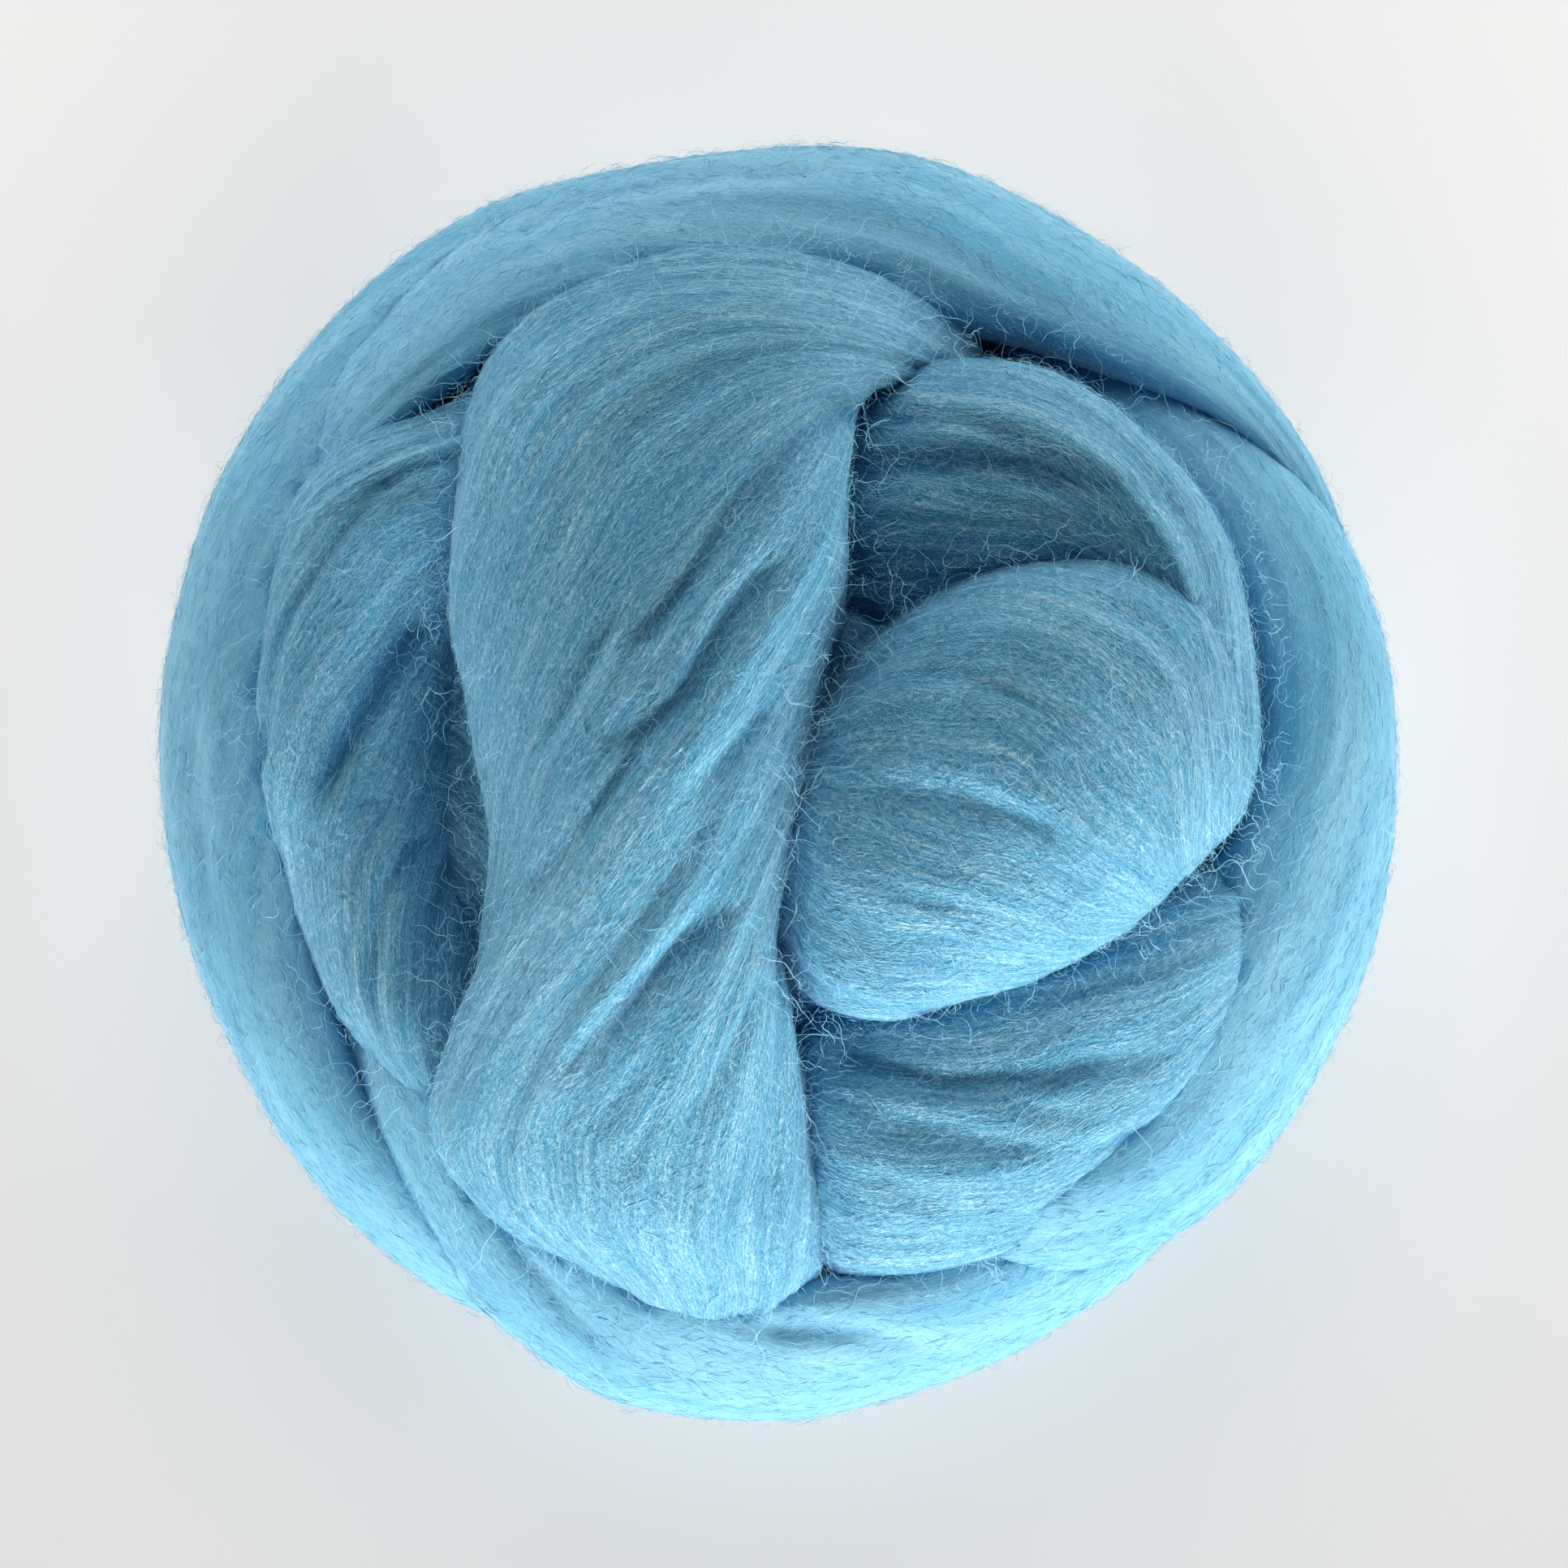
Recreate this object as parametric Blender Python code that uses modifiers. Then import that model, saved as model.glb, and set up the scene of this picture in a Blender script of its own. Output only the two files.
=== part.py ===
"""A nest of combed wool roving, wound from one soft rope of fibre and folded over itself on top.

Sizes are in millimetres until a mesh is made. +Z is up and the nest rests on Z = 0, with its
middle on the Z axis. +Y is the far side of the nest and +X its right, seen from above.
"""

import math
from collections import namedtuple

import bpy
from mathutils import Vector

MM = 0.001

# ---------------------------------------------------------------- driving sizes
NEST_DIAMETER = 150.0  # across the widest coils, in plan
DRAWN_DIAMETER = 150.0  # the diameter at which the tables below are written
SCALE = NEST_DIAMETER / DRAWN_DIAMETER

# Radius of the nest's outline in plan, every 15 degrees from +X towards +Y
OUTLINE_STEP = 15.0
OUTLINE = (
    74.3, 75.0, 75.4, 75.0, 74.8, 75.8, 76.0, 76.8, 77.8, 77.0, 76.2, 75.0,
    73.9, 72.9, 72.6, 73.7, 75.0, 76.8, 76.6, 75.0, 73.8, 73.4, 73.6, 74.2,
)

# ---------------------------------------------------------------- mesh fineness
COIL_STEP = 9.0  # degrees between sections of a coil
ALONG_STEP = 3.0  # between the rings of points along a strand
AROUND = 40  # points in a ring
FELT_VOXEL = 1.3  # strands that press together are joined at this size
SOFTEN_ROUNDS = 4
FACES_KEPT = 0.1

# ---------------------------------------------------------------- fleece
WOOL_COLOUR = (0.16, 0.42, 0.60, 1.0)
WOOL_ROUGHNESS = 0.9

# Soft ridges that the locks of fibre make along every strand: how many there are, and how high
RIDGES = ((5, 0.55), (9, 0.35))
FULLNESS = 0.92  # under 1 fills a section's ellipse out towards a rounded box

# One section of a strand. left and right are its two edges, looking along the strand. rise and
# drop are how far it bulges above and below the line between them, and turn is the angle through
# which its fibres have twisted round it by then, in degrees.
Section = namedtuple("Section", "left_x left_y left_z right_x right_y right_z rise drop turn")

# One row of a coil that runs round the nest. inset is how far its outer edge lies inside the
# outline at that angle, z is that edge's height, and lean is how much higher the inner edge is.
CoilRow = namedtuple("CoilRow", "angle inset width z lean rise drop")

# ---------------------------------------------------------------- coils, from the table plane up
LOW_COIL = (  # lies on the table, and looks out from under the next coil at the far left
    CoilRow(-80, 8.0, 40, 15, 0, 12, 18),
    CoilRow(-62, 2.0, 46, 17, 0, 16, 20),
    CoilRow(0, 2.0, 46, 17, 0, 16, 20),
    CoilRow(60, 2.5, 46, 18, 0, 16, 21),
    CoilRow(110, 0.8, 46, 20, 0, 17, 23),
    CoilRow(160, 0.0, 46, 20, 0, 17, 23),
    CoilRow(200, 1.5, 46, 18, 0, 16, 21),
    CoilRow(275, 3.0, 46, 16, 0, 16, 19),
    CoilRow(292, 9.0, 40, 14, 0, 12, 17),
)
LEFT_COIL = (  # down the left side, from under the far coil to under the near one
    CoilRow(80, 3.4, 14, 33, 4, 8.2, 11),
    CoilRow(96, 1.0, 20, 34, 6, 9.6, 14),
    CoilRow(118, 0.0, 22, 34, 6, 10, 15),
    CoilRow(140, 0.2, 23, 35, 5, 11.5, 15),
    CoilRow(160, 0.3, 24, 36, 4, 13, 15),
    CoilRow(180, 0.2, 23, 36, 3, 13.5, 15),
    CoilRow(194, 0.0, 19, 35.5, 3, 12.5, 15),
    CoilRow(209, 0.0, 16, 35, 4, 11, 15),
    CoilRow(225, 0.3, 14, 33, 5, 9.6, 14),
    CoilRow(246, 3.0, 12, 30, 5, 7.3, 12),
    CoilRow(262, 9.0, 9, 27, 3, 5.5, 9),
)
NEAR_COIL = (  # along the near side, from under the left arc to under the right coil
    CoilRow(184, 16.0, 12, 36, 3, 6, 9),
    CoilRow(196, 13.8, 16, 37, 5, 8.2, 11),
    CoilRow(209, 11.4, 18, 37, 7, 9, 12),
    CoilRow(224, 7.8, 20, 37, 8, 10, 13),
    CoilRow(238, 3.6, 21, 36, 9, 10.5, 14),
    CoilRow(252, 0.4, 22, 35, 10, 10.5, 15),
    CoilRow(270, 0.0, 21, 34, 10, 10, 15),
    CoilRow(288, 0.0, 20, 33, 10, 9, 15),
    CoilRow(303, 0.2, 19, 32, 9, 8.2, 14),
    CoilRow(314, 1.6, 16, 30, 7, 6, 11),
    CoilRow(325, 6.0, 12, 28, 4, 3.8, 8),
)
RIGHT_COIL = (  # clockwise down the right side, then in under the folds at the near side
    CoilRow(66, 13.0, 14, 33, 4, 6.3, 10),
    CoilRow(52, 7.0, 17, 33.5, 4, 8, 13),
    CoilRow(38, 3.4, 16.5, 34.5, 3, 8.5, 14),
    CoilRow(20, 0.4, 17.5, 35.5, 4, 9.5, 16),
    CoilRow(0, 0.0, 18.5, 36, 7, 10, 16),
    CoilRow(-25, 0.2, 20, 36, 9, 10, 15),
    CoilRow(-45, 0.6, 19, 37, 10, 10, 14),
    CoilRow(-55, 3.6, 18, 38, 10, 9.5, 13),
    CoilRow(-64, 7.8, 15, 38, 8, 7.9, 11),
    CoilRow(-72, 12.5, 11, 37, 6, 5.1, 8),
    CoilRow(-80, 17.0, 7, 34, 4, 2.4, 4),
)
FAR_COIL = (  # clockwise over the far side, with a deep hollow under its right end
    CoilRow(182, 9.0, 7, 35, 2, 3.8, 7),
    CoilRow(162, 6.6, 9, 37, 3, 5, 9),
    CoilRow(143, 5.2, 12, 39, 5, 6.7, 12),
    CoilRow(126, 4.4, 14.5, 41, 6, 8.8, 13),
    CoilRow(110, 3.0, 17.5, 44, 8, 10.5, 14),
    CoilRow(95, 1.6, 20.5, 45, 9, 11, 14),
    CoilRow(80, 0.3, 19.5, 44, 9, 10.5, 15),
    CoilRow(70, 0.2, 20.3, 42, 8, 10, 15),
    CoilRow(60, 0.0, 17.3, 40, 7, 9.6, 14),
    CoilRow(51, 0.0, 14.5, 39, 5, 8.3, 12),
    CoilRow(44, 0.0, 9.5, 38, 3, 6.2, 9),
    CoilRow(35, 0.2, 6.0, 37, 2, 4.2, 6),
    CoilRow(22, 0.8, 3.0, 36, 1, 2, 3),
)

# ---------------------------------------------------------------- folds, from the table plane up
UNDER_BAND = (  # crosses the flat underside
    Section(-50, 22, 14, -40, -8, 14, 9, 16, 0),
    Section(-25, 27, 10, -18, -10, 10, 10, 13, 30),
    Section(0, 26, 9, 5, -14, 9, 10, 12, 60),
    Section(25, 20, 10, 28, -20, 10, 10, 13, 90),
    Section(50, 12, 14, 42, -24, 14, 9, 16, 120),
)
LEFT_ARC = (  # down the left of the top, with a deep crevice between it and the centre band
    Section(-22, 40, 47, -29, 50, 46, 9, 12, 0),
    Section(-27, 33, 47, -39.2, 43.4, 48, 11, 13, 15),
    Section(-30, 27, 45, -47.5, 39.9, 50, 12.5, 13, 30),
    Section(-33, 21, 43, -54.9, 34.1, 50, 13, 14, 45),
    Section(-34, 14, 40, -58.9, 26.3, 49, 13, 14, 60),
    Section(-34, 7, 38, -60.7, 17.5, 48, 13.5, 14, 75),
    Section(-34, 0, 37, -61.2, 8.7, 47.5, 13.5, 14, 90),
    Section(-33, -7, 37, -60.3, 0, 46.5, 13.5, 14, 105),
    Section(-33, -14, 38, -57.8, -8.5, 45, 13.5, 14, 120),
    Section(-33, -21, 40, -55.8, -17.5, 44, 13, 14, 130),
    Section(-33, -28, 42, -52.3, -26, 44, 12, 13, 140),
    Section(-33, -34, 43, -46.5, -34, 43, 10, 12, 150),
    Section(-32, -39.5, 43, -40.5, -41.5, 42, 7, 9, 160),
)
FAR_LOOP = (  # runs to the right over the hollow, then folds down along the right rim
    Section(3, 46, 50, 3, 16, 46, 10, 12, 0),
    Section(11, 48.5, 53, 11, 15, 48, 12, 13, 8),
    Section(20, 49.5, 54, 20, 17, 51, 13.5, 14, 16),
    Section(30.3, 48.5, 55, 30, 19, 53, 14, 15, 24),
    Section(38.6, 44.2, 55, 36, 19, 54, 14, 15, 32),
    Section(45.6, 37.9, 55, 40, 16, 54, 14, 15, 40),
    Section(51.2, 30.2, 54, 42, 12, 54, 14, 15, 48),
    Section(53.6, 22.4, 54, 42, 7, 54, 13.5, 15, 56),
    Section(55, 14, 53, 42, 2, 54, 13, 15, 64),
    Section(55.6, 6, 53, 42, -2, 53, 13, 15, 72),
    Section(54.8, -0.5, 52, 41, -5, 52, 13, 15, 80),
    Section(51.5, -6, 51, 39, -6, 51, 12, 14, 88),
    Section(44, -12, 50, 35, -6, 50, 11, 13, 96),
    Section(36, -19, 50, 29, -8, 50, 10, 12, 104),
    Section(26, -23, 50, 22, -10, 50, 9, 12, 112),
    Section(16, -24, 50, 15, -12, 50, 7, 10, 120),
)
NEAR_FAN = (  # opens like a fan from the knot beside the centre band, and dives at the right rim
    Section(-5, -20, 44, -5, -42, 42, 8, 10, 0),
    Section(1, -21, 46, 0, -51, 42, 11, 12, 5),
    Section(7, -19, 47, 5, -58.2, 42, 14, 14, 10),
    Section(13, -17, 47, 11.5, -59.4, 42, 16, 15, 15),
    Section(22, -15, 47, 21, -58.2, 42, 16.5, 16, 20),
    Section(32, -12, 47, 32, -54.1, 42, 16.5, 16, 25),
    Section(42, -9, 46, 42.3, -46.8, 42, 15.5, 15, 30),
    Section(48.8, -8, 45, 49.6, -38, 42, 13.5, 14, 35),
    Section(53.8, -8, 43, 54.2, -30.5, 41, 11, 12, 40),
    Section(56.2, -9, 39, 56.4, -27, 38, 8, 10, 45),
    Section(56.6, -10, 33, 56.8, -25, 33, 4, 6, 50),
)
BUN = (  # lies on the far loop, bulges up to the right of the centre, and dives at its right rim
    Section(-2, 2, 57, -5, -16, 55, 5, 8, 0),
    Section(4, 9, 60, 0, -20.5, 57, 9, 10, 4),
    Section(8.5, 14.5, 60, 3.6, -25.4, 57, 12.5, 12, 8),
    Section(14.5, 20.2, 60, 12, -27.5, 57, 15, 13, 14),
    Section(23.5, 24.8, 61, 21, -25.8, 57, 18, 14, 20),
    Section(32.5, 26.8, 61, 29, -23.4, 57, 19, 14, 26),
    Section(41.8, 26.3, 60, 35, -20.8, 57, 18, 14, 32),
    Section(49, 22.6, 59, 39.5, -17.8, 56.5, 16.5, 13, 38),
    Section(52.6, 14, 57, 42.5, -15.5, 55.5, 14.5, 13, 44),
    Section(54.6, 6, 54.5, 44.8, -13.3, 53, 12, 12, 50),
    Section(55.2, -0.5, 50, 46.8, -11.5, 49, 9.5, 10, 56),
    Section(54.8, -4, 44, 48, -10.5, 43, 6.5, 8, 62),
    Section(53, -5.5, 38, 47.5, -11, 38, 4, 6, 66),
)
CENTRE_BAND = (  # over the top from the far side to the near side, twisting as it goes
    Section(24, 46, 44, 24, 55, 44, 4, 5, 0),
    Section(18, 45.5, 53, 17, 58.6, 50, 6, 8, 12),
    Section(13.5, 45, 60, 6, 61.4, 55, 8.5, 9, 28),
    Section(11, 43.5, 64, -9, 62.4, 57, 9.5, 10, 45),
    Section(9.6, 41, 66, -23.7, 58.7, 56, 11, 12, 62),
    Section(8.8, 37, 67, -33.5, 49.4, 56, 12.5, 13, 82),
    Section(8.7, 30.5, 67, -37.4, 37, 57, 14, 14, 104),
    Section(8.6, 22, 66, -38, 21, 58, 15, 15, 130),
    Section(5, 8, 65, -35.4, 7, 59, 16, 16, 160),
    Section(1.6, -7.5, 64, -33, -7.5, 60, 15, 16, 190),
    Section(0.4, -18, 63, -34.2, -19, 59, 14, 15, 212),
    Section(2.4, -29, 60, -37.4, -29.5, 56, 14, 14, 234),
    Section(4.6, -42, 55, -39.4, -40, 52, 14, 14, 248),
    Section(5.6, -50.5, 51, -34.8, -49.2, 49, 13.5, 13, 257),
    Section(5.2, -57.5, 46, -26, -55.8, 45, 12, 12, 263),
    Section(2, -62.5, 42, -18, -61.5, 42, 9.5, 10, 267),
    Section(-3, -65, 38, -12.5, -64.6, 38, 5, 7, 270),
)

COIL_TWIST = 0.8  # degrees that a coil's fibres turn round it for each degree round the nest

# The hidden middle windings that the folds lie on
CORE_CENTRE = (0.0, 0.0, 28.0)
CORE_RADII = (54.0, 54.0, 31.0)

TABLE_CUTTER = (260.0, 260.0, 60.0)


# ---------------------------------------------------------------- strand shapes
def outline_radius(angle):
    """Radius of the nest's outline at this angle in degrees, eased between the table's values."""
    place = (angle % 360.0) / OUTLINE_STEP
    first = int(place)
    share = 0.5 - 0.5 * math.cos(math.pi * (place - first))
    near = OUTLINE[first % len(OUTLINE)]
    far = OUTLINE[(first + 1) % len(OUTLINE)]
    return near + (far - near) * share


def eased(rows, place):
    """The row at a place along a table, on a smooth curve through its rows."""
    last = len(rows) - 1
    first = min(int(place), last - 1)
    t = place - first
    around = [rows[max(0, min(last, first + k))] for k in (-1, 0, 1, 2)]
    weights = (
        ((2 - t) * t - 1) * t / 2,
        ((3 * t - 5) * t * t + 2) / 2,
        ((4 - 3 * t) * t + 1) * t / 2,
        (t - 1) * t * t / 2,
    )
    return type(rows[0])(*(sum(w * v for w, v in zip(weights, column)) for column in zip(*around)))


def row_at_angle(rows, angle):
    """A coil's row at this angle, on a smooth curve through the table."""
    for first in range(len(rows) - 1):
        span = rows[first + 1].angle - rows[first].angle
        share = (angle - rows[first].angle) / span
        if share <= 1:
            break
    return eased(rows, first + share)


def coil_sections(rows):
    """Sections of a coil, every few degrees along its rows."""
    travel = rows[-1].angle - rows[0].angle
    count = round(abs(travel) / COIL_STEP)
    sections = []
    for index in range(count + 1):
        angle = rows[0].angle + travel * index / count
        row = row_at_angle(rows, angle)
        outward = Vector((math.cos(math.radians(angle)), math.sin(math.radians(angle)), 0.0))
        reach = outline_radius(angle) - row.inset
        outer = outward * reach + Vector((0.0, 0.0, row.z))
        inner = outward * (reach - row.width) + Vector((0.0, 0.0, row.z + row.lean))
        left, right = (inner, outer) if travel > 0 else (outer, inner)
        turn = COIL_TWIST * abs(travel) * index / count
        sections.append(Section(*left, *right, row.rise, row.drop, turn))
    return sections


def strands():
    """The sections of every strand, from the table plane up."""
    coils = (LOW_COIL, LEFT_COIL, NEAR_COIL, RIGHT_COIL, FAR_COIL)
    folds = (UNDER_BAND, LEFT_ARC, FAR_LOOP, NEAR_FAN, BUN, CENTRE_BAND)
    return [coil_sections(rows) for rows in coils] + list(folds)


def places_along(sections):
    """Places along the table, ALONG_STEP or so apart on the strand's middle line."""
    places = [0.0]
    for row, (near, far) in enumerate(zip(sections, sections[1:])):
        length = 0.5 * math.hypot(
            near.left_x + near.right_x - far.left_x - far.right_x,
            near.left_y + near.right_y - far.left_y - far.right_y,
        )
        count = max(1, round(length / ALONG_STEP))
        places += [row + (k + 1) / count for k in range(count)]
    return places


def signed_power(value, power):
    return math.copysign(abs(value) ** power, value)


def skin_point(section, angle):
    """A point of a strand's skin at this angle round the section, in radians from its left."""
    left = Vector((section.left_x, section.left_y, section.left_z))
    right = Vector((section.right_x, section.right_y, section.right_z))
    bulge = section.rise if math.sin(angle) > 0 else section.drop
    out = (left - right) / 2 * signed_power(math.cos(angle), FULLNESS)
    out.z += bulge * signed_power(math.sin(angle), FULLNESS)
    from_lock = angle - math.radians(section.turn)
    ridge = sum(height * math.cos(count * from_lock) for count, height in RIDGES)
    return (left + right) / 2 + out * (1 + ridge / max(out.length, 4.0))


def strand_mesh(sections):
    """(points, faces) of one strand, closed at both ends."""
    places = places_along(sections)
    points = [
        skin_point(eased(sections, place), 2 * math.pi * k / AROUND)
        for place in places
        for k in range(AROUND)
    ]
    rings = [range(start, start + AROUND) for start in range(0, len(points), AROUND)]
    faces = [
        (here[k], there[k], there[(k + 1) % AROUND], here[(k + 1) % AROUND])
        for here, there in zip(rings, rings[1:])
        for k in range(AROUND)
    ]
    faces.append(tuple(rings[0]))
    faces.append(tuple(reversed(rings[-1])))
    return points, faces


def wound_mesh():
    """All the strands in one mesh, centred on the Z axis, still passing through each other."""
    points, faces = [], []
    for sections in strands():
        more_points, more_faces = strand_mesh(sections)
        start = len(points)
        points += [point * SCALE * MM for point in more_points]
        faces += [tuple(start + index for index in face) for face in more_faces]
    middle = Vector(
        [(min(values) + max(values)) / 2 for values in list(zip(*points))[:2]] + [0.0]
    )
    mesh = bpy.data.meshes.new("roving")
    mesh.from_pydata([point - middle for point in points], [], faces)
    return mesh


# ---------------------------------------------------------------- building
def new_collection(name):
    collection = bpy.data.collections.new(name)
    bpy.context.scene.collection.children.link(collection)
    return collection


def wool_material():
    material = bpy.data.materials.new("wool")
    material.use_nodes = True
    shader = material.node_tree.nodes["Principled BSDF"]
    shader.inputs["Base Color"].default_value = WOOL_COLOUR
    shader.inputs["Roughness"].default_value = WOOL_ROUGHNESS
    shader.inputs["Metallic"].default_value = 0.0
    return material


def add_core(roving):
    """Joins the hidden middle windings to the strands, so that the nest is solid right through."""
    bpy.ops.mesh.primitive_uv_sphere_add(segments=48, ring_count=24)
    core = bpy.context.object
    core.location = Vector(CORE_CENTRE) * SCALE * MM
    core.scale = Vector(CORE_RADII) * SCALE * MM
    roving.select_set(True)
    bpy.context.view_layer.objects.active = roving
    bpy.ops.object.join()


def add_table_cutter(collection):
    """A block whose top is the table plane, to cut the underside flat."""
    bpy.ops.mesh.primitive_cube_add(size=1.0)
    cutter = bpy.context.object
    cutter.name = "table_cutter"
    cutter.scale = Vector(TABLE_CUTTER) * SCALE * MM
    cutter.location.z = -cutter.scale.z / 2
    for old in cutter.users_collection:
        old.objects.unlink(cutter)
    collection.objects.link(cutter)
    cutter.hide_render = True
    cutter.display_type = "WIRE"
    return cutter


def build():
    for old in list(bpy.data.objects):
        bpy.data.objects.remove(old)
    nest = new_collection("wool_roving_nest")
    cutters = new_collection("cutters")
    roving = bpy.data.objects.new("roving", wound_mesh())
    nest.objects.link(roving)
    add_core(roving)

    press = roving.modifiers.new("press_together", "REMESH")
    press.mode = "VOXEL"
    press.voxel_size = FELT_VOXEL * SCALE * MM
    soften = roving.modifiers.new("soften", "SMOOTH")
    soften.iterations = SOFTEN_ROUNDS
    thin = roving.modifiers.new("fewer_faces", "DECIMATE")
    thin.ratio = FACES_KEPT
    base = roving.modifiers.new("flat_base", "BOOLEAN")
    base.object = add_table_cutter(cutters)

    roving.data.materials.clear()
    roving.data.materials.append(wool_material())
    roving.data.shade_smooth()


build()
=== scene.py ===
"""A nest of combed wool roving, seen from straight above on a pale surface.

The nest is wound from one soft rope of fibre. Each strand of it is a table of sections, in
millimetres, drawn for a nest 150 mm across. A strand has a skin with the ridges of its locks, a
coat of short fibres that lie along it, and fuzz that stands off it. Loose curly fibres lie over
the top.
"""

import itertools
import math
from collections import namedtuple

import bpy
import numpy as np
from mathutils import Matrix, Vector
from mathutils.bvhtree import BVHTree


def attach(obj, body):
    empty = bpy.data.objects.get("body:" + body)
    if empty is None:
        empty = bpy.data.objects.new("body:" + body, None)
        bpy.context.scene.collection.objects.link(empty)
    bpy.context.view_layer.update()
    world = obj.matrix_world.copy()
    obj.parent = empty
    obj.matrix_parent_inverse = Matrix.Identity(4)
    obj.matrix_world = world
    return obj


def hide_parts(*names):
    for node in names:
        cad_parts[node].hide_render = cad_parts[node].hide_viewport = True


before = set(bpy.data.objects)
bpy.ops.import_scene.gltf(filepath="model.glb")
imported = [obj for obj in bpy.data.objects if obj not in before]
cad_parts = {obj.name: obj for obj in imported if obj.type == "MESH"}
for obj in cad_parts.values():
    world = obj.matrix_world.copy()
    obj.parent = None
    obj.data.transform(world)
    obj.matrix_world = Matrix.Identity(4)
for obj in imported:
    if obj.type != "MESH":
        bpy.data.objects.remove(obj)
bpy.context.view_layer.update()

MM = 0.001
TURN = 2 * math.pi
SEED = 41

# ---------------- the wound form
# Radius of the nest's outline in plan, every 15 degrees from +X towards +Y
OUTLINE_STEP = 15.0
OUTLINE = (
    74.3, 75.0, 75.4, 75.0, 74.8, 75.8, 76.0, 76.8, 77.8, 77.0, 76.2, 75.0,
    73.9, 72.9, 72.6, 73.7, 75.0, 76.8, 76.6, 75.0, 73.8, 73.4, 73.6, 74.2,
)

# One section of a strand. left and right are its two edges, looking along the strand. rise and
# drop are how far it bulges above and below the line between them, and turn is the angle through
# which its fibres have twisted round it by then, in degrees.
Section = namedtuple("Section", "left_x left_y left_z right_x right_y right_z rise drop turn")

# One row of a coil that runs round the nest. inset is how far its outer edge lies inside the
# outline at that angle, z is that edge's height, and lean is how much higher the inner edge is.
CoilRow = namedtuple("CoilRow", "angle inset width z lean rise drop")

LOW_COIL = (  # lies on the table, and looks out from under the next coil at the far left
    (-80, 8.0, 40, 15, 0, 12, 18),
    (-62, 2.0, 46, 17, 0, 16, 20),
    (0, 2.0, 46, 17, 0, 16, 20),
    (60, 2.5, 46, 18, 0, 16, 21),
    (110, 0.8, 46, 20, 0, 17, 23),
    (160, 0.0, 46, 20, 0, 17, 23),
    (200, 1.5, 46, 18, 0, 16, 21),
    (275, 3.0, 46, 16, 0, 16, 19),
    (292, 9.0, 40, 14, 0, 12, 17),
)
LEFT_COIL = (  # down the left side, from under the far coil to under the near one
    (80, 3.4, 14, 33, 4, 8.2, 11),
    (96, 1.0, 20, 34, 6, 9.6, 14),
    (118, 0.0, 22, 34, 6, 10, 15),
    (140, 0.2, 23, 35, 5, 11.5, 15),
    (160, 0.3, 24, 36, 4, 13, 15),
    (180, 0.2, 23, 36, 3, 13.5, 15),
    (194, 0.0, 19, 35.5, 3, 12.5, 15),
    (209, 0.0, 16, 35, 4, 11, 15),
    (225, 0.3, 14, 33, 5, 9.6, 14),
    (246, 3.0, 12, 30, 5, 7.3, 12),
    (262, 9.0, 9, 27, 3, 5.5, 9),
)
NEAR_COIL = (  # along the near side, from under the left arc to under the right coil
    (184, 16.0, 12, 36, 3, 6, 9),
    (196, 13.8, 16, 37, 5, 8.2, 11),
    (209, 11.4, 18, 37, 7, 9, 12),
    (224, 7.8, 20, 37, 8, 10, 13),
    (238, 3.6, 21, 36, 9, 10.5, 14),
    (252, 0.4, 22, 35, 10, 10.5, 15),
    (270, 0.0, 21, 34, 10, 10, 15),
    (288, 0.0, 20, 33, 10, 9, 15),
    (303, 0.2, 19, 32, 9, 8.2, 14),
    (314, 1.6, 16, 30, 7, 6, 11),
    (325, 6.0, 12, 28, 4, 3.8, 8),
)
RIGHT_COIL = (  # clockwise down the right side, then in under the folds at the near side
    (66, 13.0, 14, 33, 4, 6.3, 10),
    (52, 7.0, 17, 33.5, 4, 8, 13),
    (38, 3.4, 16.5, 34.5, 3, 8.5, 14),
    (20, 0.4, 17.5, 35.5, 4, 9.5, 16),
    (2, 0.0, 19.5, 36, 6, 10, 16),
    (-8, 0.1, 24.5, 36, 9, 10, 16),
    (-25, 0.2, 23.5, 36, 11, 10, 15),
    (-45, 0.6, 19, 37, 10, 10, 14),
    (-55, 3.6, 18, 38, 10, 9.5, 13),
    (-64, 7.8, 15, 38, 8, 7.9, 11),
    (-72, 12.5, 11, 37, 6, 5.1, 8),
    (-80, 17.0, 7, 34, 4, 2.4, 4),
)
FAR_COIL = (  # clockwise over the far side, with a deep hollow under its right end
    (182, 9.0, 7, 35, 2, 3.8, 7),
    (162, 6.6, 9, 37, 3, 5, 9),
    (143, 5.2, 12, 39, 9, 6.7, 12),
    (126, 4.4, 14.5, 41, 11, 9.0, 13),
    (110, 3.0, 17.5, 44, 12, 10.5, 14),
    (95, 1.6, 20.5, 45, 9, 11, 14),
    (80, 0.3, 19.5, 44, 9, 10.5, 15),
    (70, 0.2, 18.8, 42, 8, 10, 15),
    (60, 0.0, 15.8, 40, 7, 9.6, 14),
    (51, 0.0, 13.2, 39, 5, 8.3, 12),
    (44, 0.0, 9.5, 38, 3, 6.2, 9),
    (35, 0.2, 6.0, 37, 2, 4.2, 6),
    (22, 0.8, 3.0, 36, 1, 2, 3),
)
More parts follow.
